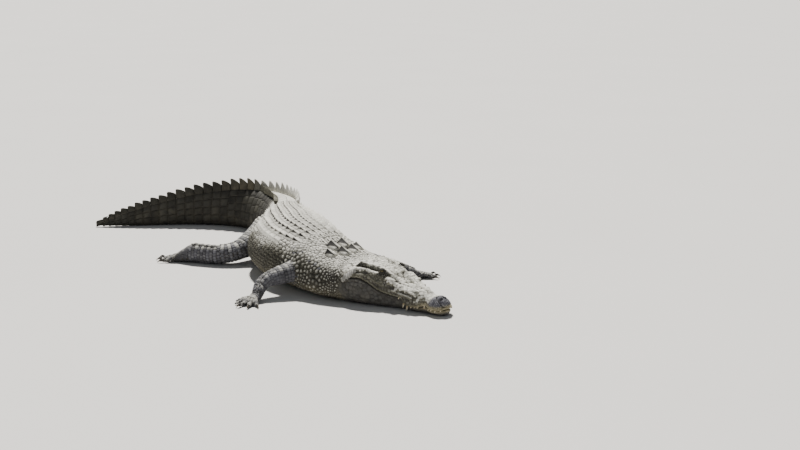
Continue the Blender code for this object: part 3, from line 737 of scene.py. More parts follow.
class Nodes:
    """The node tree of one material."""

    def __init__(self, name):
        self.material = bpy.data.materials.new(name)
        self.material.use_nodes = True
        self.tree = self.material.node_tree
        self.shader = self.tree.nodes["Principled BSDF"]

    def add(self, kind, settings=None, inputs=None, output=0):
        node = self.tree.nodes.new(kind)
        for name, value in (settings or {}).items():
            setattr(node, name, value)
        for key, value in (inputs or {}).items():
            self.join(value, node.inputs[key])
        return Sock(self, node.outputs[output])

    def join(self, value, target):
        if isinstance(value, Sock):
            self.tree.links.new(value.socket, target)
        else:
            target.default_value = value if isinstance(value, (int, float)) else tuple(value)

    def attribute(self, name):
        settings = {"attribute_type": "GEOMETRY", "attribute_name": name}
        return self.add("ShaderNodeAttribute", settings, output="Fac")

    def place(self):
        return self.add("ShaderNodeTexCoord", output="Object")

    def noise(self, size, detail, rough=0.5, stretch=(1, 1, 1)):
        inputs = {"Vector": self.place(), "Scale": tuple(k / size for k in stretch)}
        at = self.add("ShaderNodeMapping", {}, inputs)
        inputs = {"Vector": at, "Scale": 1.0, "Detail": detail, "Roughness": rough}
        return self.add("ShaderNodeTexNoise", {}, inputs)

    def cells(self, size, feature="F1"):
        """Cells of about this size, whose borders wander by a share of it."""
        inputs = {"Vector": self.place(), "Scale": 0.7 / size}
        stray = self.add("ShaderNodeTexNoise", {}, inputs, "Color")
        inputs = {0: stray, 1: (CELL_WANDER * size,) * 3, 2: self.place()}
        at = self.add("ShaderNodeVectorMath", {"operation": "MULTIPLY_ADD"}, inputs)
        inputs = {"Vector": at, "Scale": 1.0 / size}
        return self.add("ShaderNodeTexVoronoi", {"feature": feature}, inputs, "Distance")

    def step(self, value, low, high):
        settings = {"interpolation_type": "SMOOTHSTEP"}
        return self.add("ShaderNodeMapRange", settings, {0: value, 1: low, 2: high})

    def mix(self, low, high, factor):
        settings = {"data_type": "RGBA", "blend_type": "MIX"}
        return self.add("ShaderNodeMix", settings, {0: factor, 6: low, 7: high}, output=2)

    def bump(self, height, distance, strength=1.0):
        inputs = {"Height": height, "Distance": distance, "Strength": strength}
        return self.add("ShaderNodeBump", {}, inputs)

    def finish(self, **inputs):
        for name, value in inputs.items():
            self.join(value, self.shader.inputs[name.replace("_", " ").title().replace("Ior", "IOR")])
        return self.material


def hide_material(name, look, crevice, pitted=0.0, cracked=0.0, worn=0.3, varied=0.38, sunk=0.55):
    """Dry reptile hide: its markings, dirt between the scales, pale worn tops and a fine grain."""
    n = Nodes(name)
    dust, dusk, warm, blue = (n.attribute(k) for k in ("dust", "dusk", "warm", "blue"))
    rise, chance = n.attribute("rise"), n.attribute("chance")
    broad, fine, speck = n.noise(0.05, 3.0), n.noise(0.006, 3.0, 0.6), n.noise(0.0016, 2.0)
    colour = n.mix(look.olive, look.blue_grey, blue)
    # Yellowish belly and lips, and the painted glow on the tail crest.
    colour = n.mix(colour, look.belly, warm * (0.55 + 0.6 * fine))
    # Dark markings, and the painted shade that they also carry.
    colour = n.mix(colour, look.near_black, dusk * (0.62 + 0.5 * broad))
    mud = n.mix(look.dust, look.mud, n.step(n.noise(0.019, 4.0, 0.7), 0.44, 0.66) * 0.55)
    # Pale dust, and the painted highlight and lit faces that it also carries.
    colour = n.mix(colour, mud, n.step(dust * (0.62 + 0.75 * fine), 0.12, 0.82))
    colour = n.mix(colour, (0.0, 0.0, 0.0, 1), (1 - chance) * varied)
    # Pale tops of the scales: partly worn hide, partly painted highlight.
    top = n.step(rise, 0.70, 1.0) * (0.3 + 0.8 * fine) * (0.25 + chance)
    colour = n.mix(colour, look.dust, top * worn)
    colour = n.mix(colour, look.dirt, (1 - n.step(rise, 0.0, 0.45)) * crevice)
    colour = n.mix(colour, (0.05, 0.045, 0.035, 1), n.step(speck, 0.56, 0.78) * 0.30)
    height = fine * 0.6 + speck * 0.25
    if cracked:
        crack = n.step(n.cells(cracked, "DISTANCE_TO_EDGE"), 0.0, 0.12)
        colour = n.mix(colour, look.dirt, (1 - crack) * 0.30)
        height = height + crack * 0.9
    if pitted:
        pit = n.step(n.cells(pitted), 0.05, 0.45)
        colour = n.mix(colour, look.dirt, (1 - pit) * 0.22)
        height = height + pit * sunk
    return n.finish(
        base_color=colour, roughness=0.62 + 0.22 * fine + 0.08 * dust, specular_ior_level=0.35,
        normal=n.bump(height, 0.0011, 0.8),
    )


# ---------------------------------------------------------------- the skin
def flesh_shells():
    """Rings of every tube of flesh, slightly inside the real surface."""
    shells = []
    for chart in (HEAD_CHART, BODY_CHART):
        both = np.concatenate([chart.side[:, :-1], -chart.side[:, :0:-1]], axis=1)
        high = np.concatenate([chart.high[:, :-1], chart.high[:, :0:-1]], axis=1)
        shells.append(place(np.repeat(chart.s[:, None], both.shape[1], axis=1), both, high))
    for limb in LIMBS.values():
        for stations, less in ((limb_stations(limb), SKIN_DEPTH * 0.8), (palm_stations(limb), 0.002)):
            centre, along, wide, tall = stations
            shells.append(tube_rings((centre, along, wide - less, tall - less)))
        palm = PALMS[limb["digits"]]
        shells += [tube_rings(digit_stations(palm, *line), 16) for line in digit_lines(limb)]
    return shells


def relax(points, pairs, times, weight):
    """Even out a mesh: each point moves towards the mean of its neighbours by its weight."""
    count = np.bincount(pairs.ravel(), minlength=len(points)).astype(float)[:, None]
    for _ in range(times):
        total = np.zeros_like(points)
        np.add.at(total, pairs[:, 0], points[pairs[:, 1]])
        np.add.at(total, pairs[:, 1], points[pairs[:, 0]])
        points = points + (total / np.maximum(count, 1) - points) * weight[:, None]
    return points


def edge_pairs(mesh):
    return read(mesh.edges, "vertices", 2, np.int32)


def head_places(points):
    """Distance, side and height of points in the straight head's own axes."""
    from_snout = points[:, :2] - np.array(SNOUT)
    return from_snout @ -AHEAD[:2], from_snout @ RIGHT[:2], points[:, 2]


def near_line(x, y, line, width):
    """1 on a drawn line and less away from it, over this width."""
    best = np.full(len(x), 1e9)
    for (ax, ay), (bx, by) in zip(line, line[1:]):
        vx, vy = bx - ax, by - ay
        share = np.clip(((x - ax) * vx + (y - ay) * vy) / (vx * vx + vy * vy), 0, 1)
        best = np.minimum(best, (x - ax - share * vx) ** 2 + (y - ay - share * vy) ** 2)
    return np.exp(-best / (width * width))


# Ridges and grooves on top of the head: a (distance, side) line, its width and its height.
TOP_RIDGES = (
    (((0.388, 0.060), (0.355, 0.056), (0.315, 0.044), (0.265, 0.030), (0.210, 0.022), (0.150, 0.020)),
     0.0125, 0.0105),
    (((0.372, 0.090), (0.330, 0.081), (0.265, 0.068), (0.200, 0.058)), 0.010, 0.0080),
    (((0.400, 0.000), (0.330, 0.000)), 0.022, -0.0060),
    (((0.395, 0.082), (0.300, 0.062)), 0.008, -0.0060),
    (((0.412, 0.066), (0.436, 0.070), (0.472, 0.070)), 0.014, 0.0050),
    (((0.480, 0.070), (0.540, 0.085), (0.592, 0.098)), 0.010, 0.0085),
    (((0.594, 0.098), (0.598, 0.050), (0.594, 0.000)), 0.012, 0.0060),
    (((0.462, 0.091), (0.530, 0.108), (0.603, 0.122)), 0.013, -0.0240),
    (((0.640, 0.135), (0.642, 0.000)), 0.024, -0.0140),
    (((0.480, 0.000), (0.570, 0.000)), 0.030, -0.0040),
)
NOSTRIL = ((0.047, 0.008), (0.038, 0.011), (0.034, 0.019), (0.039, 0.027))
EAR_SLIT = ((0.525, 0.100), (0.595, 0.111))
JOWL = ((0.52, 0.070), (0.62, 0.080))
# The same on the side of the head: a (distance, height) line, its width and its height.
SIDE_RIDGES = (
    (((0.392, 0.170), (0.350, 0.163)), 0.010, 0.0110),
    (((0.372, 0.152), (0.302, 0.137)), 0.011, 0.0135),
    (((0.322, 0.124), (0.258, 0.116)), 0.010, 0.0125),
    (((0.290, 0.100), (0.214, 0.085)), 0.009, 0.0110),
    (((0.250, 0.112), (0.196, 0.100)), 0.009, 0.0080),
    (((0.340, 0.112), (0.300, 0.104)), 0.007, 0.0070),
    (((0.660, 0.150), (0.590, 0.085), (0.520, 0.050)), 0.009, -0.0060),
    (((0.590, 0.212), (0.520, 0.213), (0.460, 0.194)), 0.010, 0.0095),
    (((0.585, 0.190), (0.500, 0.184), (0.430, 0.150)), 0.008, 0.0050),
)


def eye_axes(sign):
    """Centre of an eye, where it looks, and the directions forward and up on the eyeball."""
    centre = place(EYE[0], sign * EYE[1], EYE[2])
    look = unit(RIGHT * sign * 0.86 + UP * 0.46 + AHEAD * 0.20)
    up = unit(UP - look * look[2])
    return centre, look, unit(np.cross(up, look)), up


def sculpt_head(points, out, relief):
    """Bone ridges, lips, folds, ear slits and nostrils, as moves along the surface's normal."""
    d, side, z = head_places(points)
    wide, above, brow = np.abs(side), z - GAPE(d), BROW(d)
    zone = smooth(0.74, 0.70, d)
    over = smooth(0.40, 0.62, above / np.maximum(BROW_TOP(d) - GAPE(d), 0.01))
    top = smooth(0.030, 0.012, wide - brow) * over
    flank = smooth(-0.012, 0.010, wide - brow) * smooth(-0.75, -0.25, out[:, 2])
    lump, small = noise(points, 0.017, 21), noise(points, 0.0085, 22)
    long = noise(points, 0.034, 23)
    move = np.zeros(len(points))
    for ridges, where, across, least, varied in (
        (TOP_RIDGES, over, wide, 0.55, 0.9), (SIDE_RIDGES, flank, z, 0.8, 1.0),
    ):
        for line, width, height in ridges:
            worn = least + varied * long if height > 0 else 1.0
            move += where * near_line(d, across, line, width) * height * worn
    move -= near_line(d, wide, EAR_SLIT, 0.0050) * over * 0.0090

    # The closed mouth: its slit, a scalloped upper lip and a plain lower one.
    side_on = np.clip(smooth(0.92, 0.65, np.abs(out[:, 2])) + smooth(0.03, 0.01, d), 0, 1)
    side_on *= smooth(0.655, 0.60, d)
    scallop = 0.5 + 1.0 * noise(np.stack([d, d * 0, side * 0], 1), 0.022, 30)
    move -= side_on * np.exp(-(above / 0.0036) ** 2) * 0.0095
    move += side_on * np.exp(-((above - 0.011) / 0.006) ** 2) * 0.0052 * scallop
    move += side_on * np.exp(-((above + 0.010) / 0.005) ** 2) * 0.0030

    # Lumps of the cheeks, of the snout's top and of the table behind the eyes.
    grain = noise(np.stack([d * 0.50, side * 0.6, z], 1), 0.0125, 31)
    cheek = flank * smooth(0.014, 0.026, above) * smooth(0.10, 0.15, d) * smooth(0.49, 0.43, d)
    move += cheek * (smooth(0.30, 0.66, grain) - 0.45) * 0.0035
    snout_top = top * smooth(0.05, 0.09, d) * smooth(0.47, 0.43, d)
    move += snout_top * ((long - 0.5) * 0.0070 + (lump - 0.5) * 0.0040)
    move += top * smooth(0.46, 0.50, d) * ((small - 0.5) * 0.0034 + (lump - 0.5) * 0.0030)

    # The nose: a raised disc with a groove round it, two curved nostrils, and knobbly skin.
    disc = np.hypot((d - 0.034) / 0.030, wide / 0.031)
    move += over * (smooth(1.20, 0.90, disc) * 0.0075 - np.exp(-((disc - 1.35) / 0.16) ** 2) * 0.0075)
    move -= over * near_line(d, wide, NOSTRIL, 0.0036) * 0.0150
    nose = smooth(0.100, 0.060, d) * smooth(0.005, 0.020, above)
    move += nose * ((small - 0.5) * 0.0060 + (lump - 0.5) * 0.0040)

    # Temple, jowl and the folds of the lower jaw.
    temple = flank * smooth(0.47, 0.52, d) * smooth(0.10, 0.13, z)
    move += temple * ((small - 0.5) * 0.0055 + (lump - 0.5) * 0.0050)
    move += flank * near_line(d, z, JOWL, 0.05) * 0.006
    jaw = flank * smooth(0.30, 0.36, d) * smooth(-0.012, -0.025, above)
    fold = noise(np.stack([d * 0.22, side * 0.3, z], 1), 0.014, 33)
    move += jaw * (fold - 0.5) * 0.0050
    points = points + out * (move * zone * relief)[:, None]
    for sign in (1, -1):
        points = sink_socket(points, *eye_axes(sign)[:2])
    return points


def sink_socket(points, centre, look):
    """Push the skin behind the eyeball, and raise the rim round it."""
    rel = points - centre
    depth = rel @ look
    radial = rel - depth[:, None] * look
    reach = np.linalg.norm(radial, axis=1)
    socket = EYE_RADIUS * 0.93
    inside = (reach < socket) & (depth > -EYE_RADIUS) & (depth < 0.05)
    hollow = np.minimum(depth, -0.3 * EYE_RADIUS * np.sqrt(np.clip(1 - (reach / socket) ** 2, 0, 1)))
    rim = np.exp(-((reach - 0.027) / 0.008) ** 2) * (np.abs(depth) < 0.04) * 0.0045
    depth_new = np.where(inside, hollow, depth + rim)
    return centre + radial + depth_new[:, None] * look


def needs_fine_faces(d, wide, z):
    """Round the eyes, on the nose and along the mouth."""
    eye = (np.hypot(d - EYE[0], z - EYE[2]) < 0.050) & (wide > 0.040) & (wide < 0.140)
    nose = (d < 0.085) & (wide < 0.10) & (z > 0.020)
    mouth = (d < 0.60) & (np.abs(z - GAPE(d)) < 0.014) & (wide > 0.7 * LIP(d)) & (wide < 0.25)
    return eye | nose | mouth


def build_skin(scene):
    """One closed skin: every tube of flesh joined, evened out, thinned, and its head sculpted."""
    shape, points, faces, start = scene.croc_shape, [], [], 0
    spread_samples()
    for rings in flesh_shells():
        points.append(rings.reshape(-1, 3))
        faces += tube_faces(rings.shape[:2], start)
        start += len(points[-1])
    mesh = bpy.data.meshes.new("skin")
    mesh.from_pydata(np.concatenate(points).tolist(), [], faces)
    mesh.update()
    skin = link("skin", mesh)
    face_outward(skin)
    apply_modifier(skin, "REMESH", mode="VOXEL", voxel_size=shape.voxel, adaptivity=0.0)
    mesh = skin.data
    points = coordinates(mesh)
    part, s = nearest_samples(points)
    weight = np.where(part == FOOT_PART, 0.25, 0.5)
    weight *= np.where((part == BODY_PART) & (s > 3.7), 0.4, 1.0)
    low = points[:, 2] < 0.012
    points = relax(points, edge_pairs(mesh), 8, weight)
    points[low, 2] = np.minimum(points[low, 2], 0.012)
    points[:, 2] = np.maximum(points[:, 2], 0.0012)
    set_coordinates(mesh, points)
    thin_out(skin, (part == BODY_PART) & (s > 1.10) & (s < 3.6))
    refine(skin, lambda d, wide, z: (d < 0.71) & (wide < 0.27))
    refine(skin, needs_fine_faces)
    points, out = coordinates(mesh), normals(mesh)
    points = sculpt_head(points, out, shape.relief)
    ripple = noise(points, 0.09, 41) - 0.5
    part, s = nearest_samples(points)
    trunk = (part == BODY_PART) * smooth(0.66, 0.80, s) * smooth(0.85, 0.5, out[:, 2])
    trunk *= smooth(0.02, 0.05, points[:, 2])
    points = points + out * (ripple * trunk * 0.006)[:, None]
    points[:, 2] = np.maximum(points[:, 2], 0.0010)
    set_coordinates(mesh, points)
    mesh.polygons.foreach_set("use_smooth", np.ones(len(mesh.polygons), bool))
    out, pairs, ones = normals(mesh), edge_pairs(mesh), np.ones(len(points))
    broad = ((relax(points, pairs, HOLLOW_STEPS, ones) - points) * out).sum(1)
    MADE["hollow"] = np.clip(broad / HOLLOW_DEPTH, -1, 1)
    MADE["part"], MADE["distance"] = part, s
    marks = markings(points, out, part, s, MADE["hollow"])
    marks["dust"] = marks["dust"] * np.where((part == BODY_PART) & (s < 0.68), 0.62, 1.0)
    hollow = ((relax(points, pairs, 5, ones) - points) * out).sum(1)
    head = (part == BODY_PART) & (s < 0.67)
    rise = np.where(head, np.clip(0.30 - hollow / 0.0040, 0.0, 0.8), 0.10)
    mark_mesh(mesh, marks, rise, np.where(head, 0.85, 0.6))
    MADE["skin"] = finish_piece(skin, hide("skin"), "body_hide", *FLESH)
    MADE["tree"] = skin_tree(mesh)


THINNED_SHARE = 0.18
HOLLOW_STEPS = 14
HOLLOW_DEPTH = 0.0032


def thin_out(skin, where):
    """Fewer, larger faces under the trunk's and tail's scales, where the skin hardly shows."""
    group = skin.vertex_groups.new(name="thin")
    group.add(np.nonzero(where)[0].tolist(), 1.0, "REPLACE")
    share = 1 - where.mean() * (1 - THINNED_SHARE)
    apply_modifier(
        skin, "DECIMATE", ratio=float(share), vertex_group="thin", vertex_group_factor=1000.0)
    skin.vertex_groups.remove(skin.vertex_groups["thin"])


def refine(skin, inside):
    """Split the head's faces, so that its folds and ridges have faces to stand on."""
    mesh = skin.data
    activate(skin)
    bpy.ops.object.mode_set(mode="EDIT")
    bpy.ops.mesh.select_mode(type="FACE")
    bpy.ops.mesh.select_all(action="DESELECT")
    bpy.ops.object.mode_set(mode="OBJECT")
    distance, side, z = head_places(read(mesh.polygons, "center", 3))
    mesh.polygons.foreach_set("select", inside(distance, np.abs(side), z))
    bpy.ops.object.mode_set(mode="EDIT")
    bpy.ops.mesh.subdivide(number_cuts=1)
    bpy.ops.object.mode_set(mode="OBJECT")
    points = coordinates(mesh)
    distance, side, _ = head_places(points)
    head = smooth(0.72, 0.66, distance) * (np.abs(side) < HEAD_HALF)
    set_coordinates(mesh, relax(points, edge_pairs(mesh), 2, 0.5 * head))


def skin_tree(mesh):
    """Search tree for rays on to the skin. It also notes a corner of each of its triangles."""
    mesh.calc_loop_triangles()
    triangles = read(mesh.loop_triangles, "vertices", 3, np.int32)
    MADE["first_corner"] = triangles[:, 0]
    return BVHTree.FromPolygons(coordinates(mesh).tolist(), triangles.tolist())


# ---------------------------------------------------------------- scales
def take_faces(obj):
    """The corners of an object's faces and how many each face has. The object is removed."""
    faces = [list(polygon.vertices) for polygon in obj.data.polygons]
    mesh = obj.data
    bpy.data.objects.remove(obj)
    bpy.data.meshes.remove(mesh)
    return np.concatenate([np.array(face) for face in faces]), np.array([len(face) for face in faces])


# Rings of a close-fitting scale: share of the way to its border, and height.
# Sections of close-fitting scales, from their middles to their roots: share of reach, of height.
TILE_RINGS = ((0.0, 1.0), (0.60, 0.98), (0.88, 0.80), (0.98, 0.25), (1.0, -1.0), (0.0, -1.0))
BUMP_RINGS = ((0.0, 1.0), (0.45, 0.92), (0.76, 0.62), (0.96, 0.16), (1.0, -1.0), (0.0, -1.0))
TILE_SIDES = 12
TILE_NEIGHBOURS = 14
TILE_SHARPNESS = 20.0
TILE_GAP = 0.0004
TILE_SPREAD = 1.035


class Tile:
    """A many-sided scale made from a ball: each corner's turn round its middle, reach and height."""

    def __init__(self, rings):
        last = len(rings) - 1
        obj = ball("tile", TILE_SIDES, last)
        x, y, z = coordinates(obj.data).T
        ring = np.rint(np.arccos(np.clip(z, -1, 1)) / math.pi * last).astype(int)
        share, self.high = np.array(rings)[ring].T
        self.turn = np.arctan2(y, x)
        self.u, self.v = share * np.cos(self.turn), share * np.sin(self.turn)
        self.corners, self.totals = take_faces(obj)


class Template:
    """One scale in a box of its own: x from its front to its back, y across, z from root to top."""

    def __init__(self, cells, roundness, rise, edge, cells_across=None, crowd=1.0):
        deselect()
        across = cells_across or cells
        bpy.ops.mesh.primitive_grid_add(x_subdivisions=cells, y_subdivisions=across, size=2)
        obj = bpy.context.object
        bpy.ops.object.mode_set(mode="EDIT")
        bpy.ops.mesh.select_all(action="SELECT")
        bpy.ops.mesh.region_to_loop()
        bpy.ops.mesh.extrude_edges_move(TRANSFORM_OT_translate={"value": (0, 0, -1)})
        bpy.ops.mesh.edge_face_add()
        bpy.ops.mesh.select_all(action="SELECT")
        bpy.ops.mesh.normals_make_consistent(inside=False)
        bpy.ops.object.mode_set(mode="OBJECT")
        points = coordinates(obj.data)
        root = points[:, 2] < -0.5
        u, v = (np.sign(k) * (1 - np.clip(1 - np.abs(k), 0, 1) ** crowd) for k in points[:, :2].T)
        reach = np.maximum(np.abs(u), np.abs(v))
        height = edge + (1 - edge) * np.asarray(rise(u, v))
        height = np.where(reach > 0.999, edge * np.minimum(1, 0.6 + rise(u, v)), height)
        x = u * np.sqrt(1 - roundness * v * v / 2)
        y = v * np.sqrt(1 - roundness * u * u / 2)
        self.u = np.where(root, x * 1.06, x)
        self.v = np.where(root, y * 1.06, y)
        self.high = np.where(root, -1.0, height)
        self.corners, self.totals = take_faces(obj)


def dome(u, v):
    """A round scale."""
    return np.clip(1 - 0.9 * (u * u + v * v) / 1.2, 0, 1) ** 0.7


def blade(sharp, ramp, base):
    """A flat scale with a thin upright ridge that climbs towards the back and drops off sharply."""
    def rise(u, v):
        ridge = np.clip(1 - np.abs(v) * 1.02, 0, 1) ** sharp
        climb = np.clip((1 - ramp) + ramp * ((u + 1) / 1.85) ** 1.3, 0, 1)
        ends = np.clip((1 - u) * 6.0, 0, 1) * np.clip((1 + u) * 2.5, 0, 1)
        flat = base * np.clip((1 - np.maximum(np.abs(u), np.abs(v))) * 4, 0, 1)
        return flat + (1 - base) * ridge * climb * ends
    return rise


def keel(sharp, ramp):
    """A rise with a ridge down its middle, which is higher towards the back."""
    def rise(u, v):
        ridge = np.clip(1 - np.abs(v) * 1.05, 0, 1) ** sharp
        along = (1 - ramp) + ramp * (u + 1) / 2
        ends = np.clip((1 - np.abs(u)) * 3.2, 0, 1)
        return 0.25 * np.clip(1 - (u * u + v * v) / 2, 0, 1) + 0.75 * ridge * along * ends
    return rise


def low_dome(u, v):
    """A soft-edged scale with a slightly swollen middle."""
    reach = np.maximum(np.abs(u), np.abs(v))
    return np.clip((1 - reach) * 2.2, 0, 1) ** 0.7 * (0.90 + 0.10 * (1 - v * v))


def rib(u, v):
    """A blunt roll across the scale."""
    return np.clip(1 - u * u, 0, 1) ** 0.6 * np.clip(1 - v ** 4, 0, 1)


def plate(u, v):
    """A nearly flat scale with rounded borders whose rear edge stands over the next one."""
    reach = np.maximum(np.abs(u), np.abs(v))
    return np.clip((1 - reach) * 5.0, 0, 1) ** 0.6 * (0.86 + 0.14 * u)


class Coat:
    """Gathers the scales of one piece, with random numbers of its own, and makes their mesh."""

    def __init__(self, name, seed):
        self.name, self.rng = name, np.random.default_rng(SEED + seed)
        self.points, self.corners, self.totals, self.uv = [], [], [], []
        self.marks = {key: [] for key in ("dust", "dusk", "warm", "blue", "rise", "chance")}
        self.count = 0

    def add(self, template, where, marks, root_uv):
        """where(u, v, high) gives the points of all scales at once, as (scales, corners, 3)."""
        points = where(template.u, template.v, template.high)
        scales, corners = points.shape[:2]
        index = template.corners[None] + np.arange(scales)[:, None] * corners + self.count
        self.points.append(points.reshape(-1, 3))
        self.corners.append(index.ravel())
        self.totals.append(np.tile(template.totals, scales))
        self.marks["rise"].append(np.tile(np.clip(template.high, 0, 1), scales))
        for key, values in (marks | {"chance": self.rng.random(scales)}).items():
            if np.size(values) <= scales:
                values = np.repeat(np.broadcast_to(values, scales), corners)
            self.marks[key].append(values)
        patch = np.stack([template.u, template.v], 1)[template.corners] * 0.0014
        self.uv.append((root_uv[:, None] + patch[None]).reshape(-1, 2))
        self.count += scales * corners

    def mesh(self):
        points = np.concatenate(self.points).astype(np.float32)
        corners, totals = np.concatenate(self.corners), np.concatenate(self.totals)
        points[:, 2] = np.maximum(points[:, 2], SCALE_FLOOR)
        mesh = bpy.data.meshes.new(self.name)
        mesh.vertices.add(len(points))
        mesh.vertices.foreach_set("co", points.ravel())
        mesh.loops.add(len(corners))
        mesh.loops.foreach_set("vertex_index", corners.astype(np.int32))
        mesh.polygons.add(len(totals))
        starts = np.concatenate(([0], np.cumsum(totals)[:-1])).astype(np.int32)
        mesh.polygons.foreach_set("loop_start", starts)
        mesh.update(calc_edges=True)
        mesh.validate()
        mesh.polygons.foreach_set("use_smooth", np.ones(len(totals), bool))
        for key, values in self.marks.items():
            set_attribute(mesh, key, np.concatenate(values))
        layer = mesh.uv_layers.new(name="OFBake")
        layer.data.foreach_set("uv", np.concatenate(self.uv).astype(np.float32).ravel())
        return link(self.name, mesh)


class Spots:
    """Places of scales, with what each scale needs there, as columns of equal length."""

    def __init__(self, **columns):
        vars(self).update(columns)

    def keep(self, where):
        for name, column in vars(self).items():
            setattr(self, name, column[where])


def drop_on_skin(start, direction, reach, **columns):
    """Spots where rays first meet the skin, with its normals. Rays that miss it are left out."""
    hit, out, found = np.zeros((len(start), 3)), np.zeros((len(start), 3)), np.zeros(len(start), bool)
    for i, (a, b) in enumerate(zip(start.tolist(), direction.tolist())):
        where, normal, _, _ = MADE["tree"].ray_cast(Vector(a), Vector(b), reach)
        if where is not None and normal.dot(Vector(b)) < -0.25:
            hit[i], out[i], found[i] = where, normal, True
    spots = Spots(at=hit, out=out, **columns)
    spots.keep(found)
    return spots


def keep_clear(centres, radii, share=0.1, among=False):
    """Which new scales lie clear of those already set. The ones that do are remembered."""
    taken = MADE.setdefault("taken", {})
    new = taken if among else {}
    keep = np.zeros(len(centres), bool)
    radii = np.broadcast_to(radii, len(centres)).tolist()
    keys = np.floor(centres / CLEAR_CELL).astype(int).tolist()
    near = [(x, y, z) for x in (-1, 0, 1) for y in (-1, 0, 1) for z in (-1, 0, 1)]
    for i, (centre, radius, (x, y, z)) in enumerate(zip(centres.tolist(), radii, keys)):
        others = (other for a, b, c in near for other in taken.get((x + a, y + b, z + c), ()))
        if not any(math.dist(centre, other) < (radius + size) * share for other, size in others):
            keep[i] = True
            new.setdefault((x, y, z), []).append((centre, radius))
    if not among:
        for key, entries in new.items():
            taken.setdefault(key, []).extend(entries)
    return keep


def lay(coat, template, spots, part, sink=0.0035, bend=0.0, marks=None):
    """Set small scales flat on the skin. spots.size holds their lengths, widths and heights."""
    out = spots.out
    along = unit(spots.along - (spots.along * out).sum(1, keepdims=True) * out)
    around = np.cross(out, along)
    length, width, height = (spots.size[:, i:i + 1] for i in range(3))

    def where(u, v, high):
        lift = np.where(high < 0, -sink, high * height)
        drop = np.asarray(bend).reshape(-1, 1) * (v * width / 2) ** 2 / 2
        return (
            spots.at[:, None]
            + along[:, None] * (u * length / 2)[..., None]
            + around[:, None] * (v * width / 2)[..., None]
            + out[:, None] * (lift - drop)[..., None]
        )

    coat.add(template, where, markings(spots.at, out, part, spots.s) | (marks or {}), spots.uv)


def body_uv(s, arc, span):
    """Root of a scale on the body's unwrap, spread over the piece's own stretch of it."""
    around = 0.5 + 0.5 * arc / BODY_CHART.half_girth(s)
    return np.stack([0.01 + 0.98 * (s - span[0]) / (span[1] - span[0]), 0.01 + 0.98 * around], axis=1)


def on_body(coat, template, rows, lift, span, clear, sink=0.004):
    """Set larger scales that follow the body's own bend, corner by corner."""
    s, arc, length, width, height = rows.T

    def where(u, v, high):
        ss = s[:, None] + u[None] * length[:, None] / 2
        aa = arc[:, None] + v[None] * width[:, None] / 2
        raised = np.where(high[None] < 0, -sink, high[None] * height[:, None]) + lift[:, None]
        return BODY_CHART.at(ss, aa) + BODY_CHART.axes(ss, aa)[2] * raised[..., None]

    centre = BODY_CHART.at(s, arc)
    marks = markings(centre, BODY_CHART.axes(s, arc)[2], BODY_PART, s)
    coat.add(template, where, marks, body_uv(s, arc, span))
    keep_clear(centre, clear)


def skin_offset(s, arc):
    """How far the skin lies outside the chart at these places, and which have it near enough."""
    centre, out = BODY_CHART.at(s, arc), BODY_CHART.axes(s, arc)[2]
    spots = drop_on_skin(centre + out * SKIN_REACH, -out, 2 * SKIN_REACH, row=np.arange(len(s)))
    offset = np.zeros(len(s))
    offset[spots.row] = ((spots.at - centre[spots.row]) * out[spots.row]).sum(axis=1)
    return offset, spots.row


# Side of the cells that sort what is already set, and how granules look for bare skin.
CLEAR_CELL = 0.05
GRANULE_TRIES = 60000
WIDE_FACE = 0.00009
CORNER_RIBS = 8
# Flank: step between rows and along them, and length and width of a scale.
FLANK_ROW, FLANK_STEP, FLANK_SCALE = 0.0235, 0.0275, (0.0290, 0.0215)
# Belly: step between rows, width of a place in one, the plate, and where on the side rows begin.
BELLY_STEP, BELLY_PLACE, BELLY_PLATE, BELLY_EDGE = 0.0300, 0.0250, (0.0285, 0.0240, 0.0022), 0.072
# Spacing of neck bumps, snout plates, jaw plates, and leg scales by the foot's digits.
NECK_BUMP, SNOUT_PLATE, JAW_PLATE, LEG_SCALE = 0.0235, 0.0150, 0.0200, {5: 0.0205, 4: 0.0230}
# Feet: step of the cross plates down a digit, and spacing and step of the palm's scales.
DIGIT_STEP, PALM_SCALE, PALM_STEP = 0.0105, 0.0125, 0.0118
# Leg fringe: size and height of a scale, the share of the leg where it begins, and its lean.
FRINGES = {"hind": (0.0200, 0.013, 0.45, 0.30), "fore": (0.0150, 0.007, 0.60, 0.10)}
# Back: rows of scutes, where the first and last lie, and the length of a scute.
BACK_ROWS, BACK_START, BACK_END, SCUTE_LENGTH = 17, 1.075, 1.985, 0.0562
# Its columns on each side, from the midline out: arc, height and width of a scute.
BACK_COLUMNS = ((0.026, 0.016, 0.050), (0.079, 0.023, 0.056), (0.136, 0.026, 0.059),
                (0.193, 0.019, 0.057), (0.247, 0.012, 0.051))
# Small scutes round the neck shield: distance, and arcs of its places.
SHIELD_ROWS = ((0.945, (0.020, 0.062)), (0.735, (0.030, 0.085)), (1.010, (0.022, 0.068, 0.112)))


def back_places():
    """Distance, arc, length, width and height of every back scute."""
    rows = []
    for s in np.linspace(BACK_START, BACK_END, BACK_ROWS):
        girth = np.interp(s, (1.05, 1.20, 1.60, 2.0), (0.86, 0.98, 1.0, 0.70))
        last = 3 if s > 1.93 else 5 if 1.15 < s < 1.80 else 4
        rows += [(s, sign * arc * girth, SCUTE_LENGTH, width * girth, height)
                 for arc, height, width in BACK_COLUMNS[:last] for sign in (1, -1)]
    return np.array(rows)


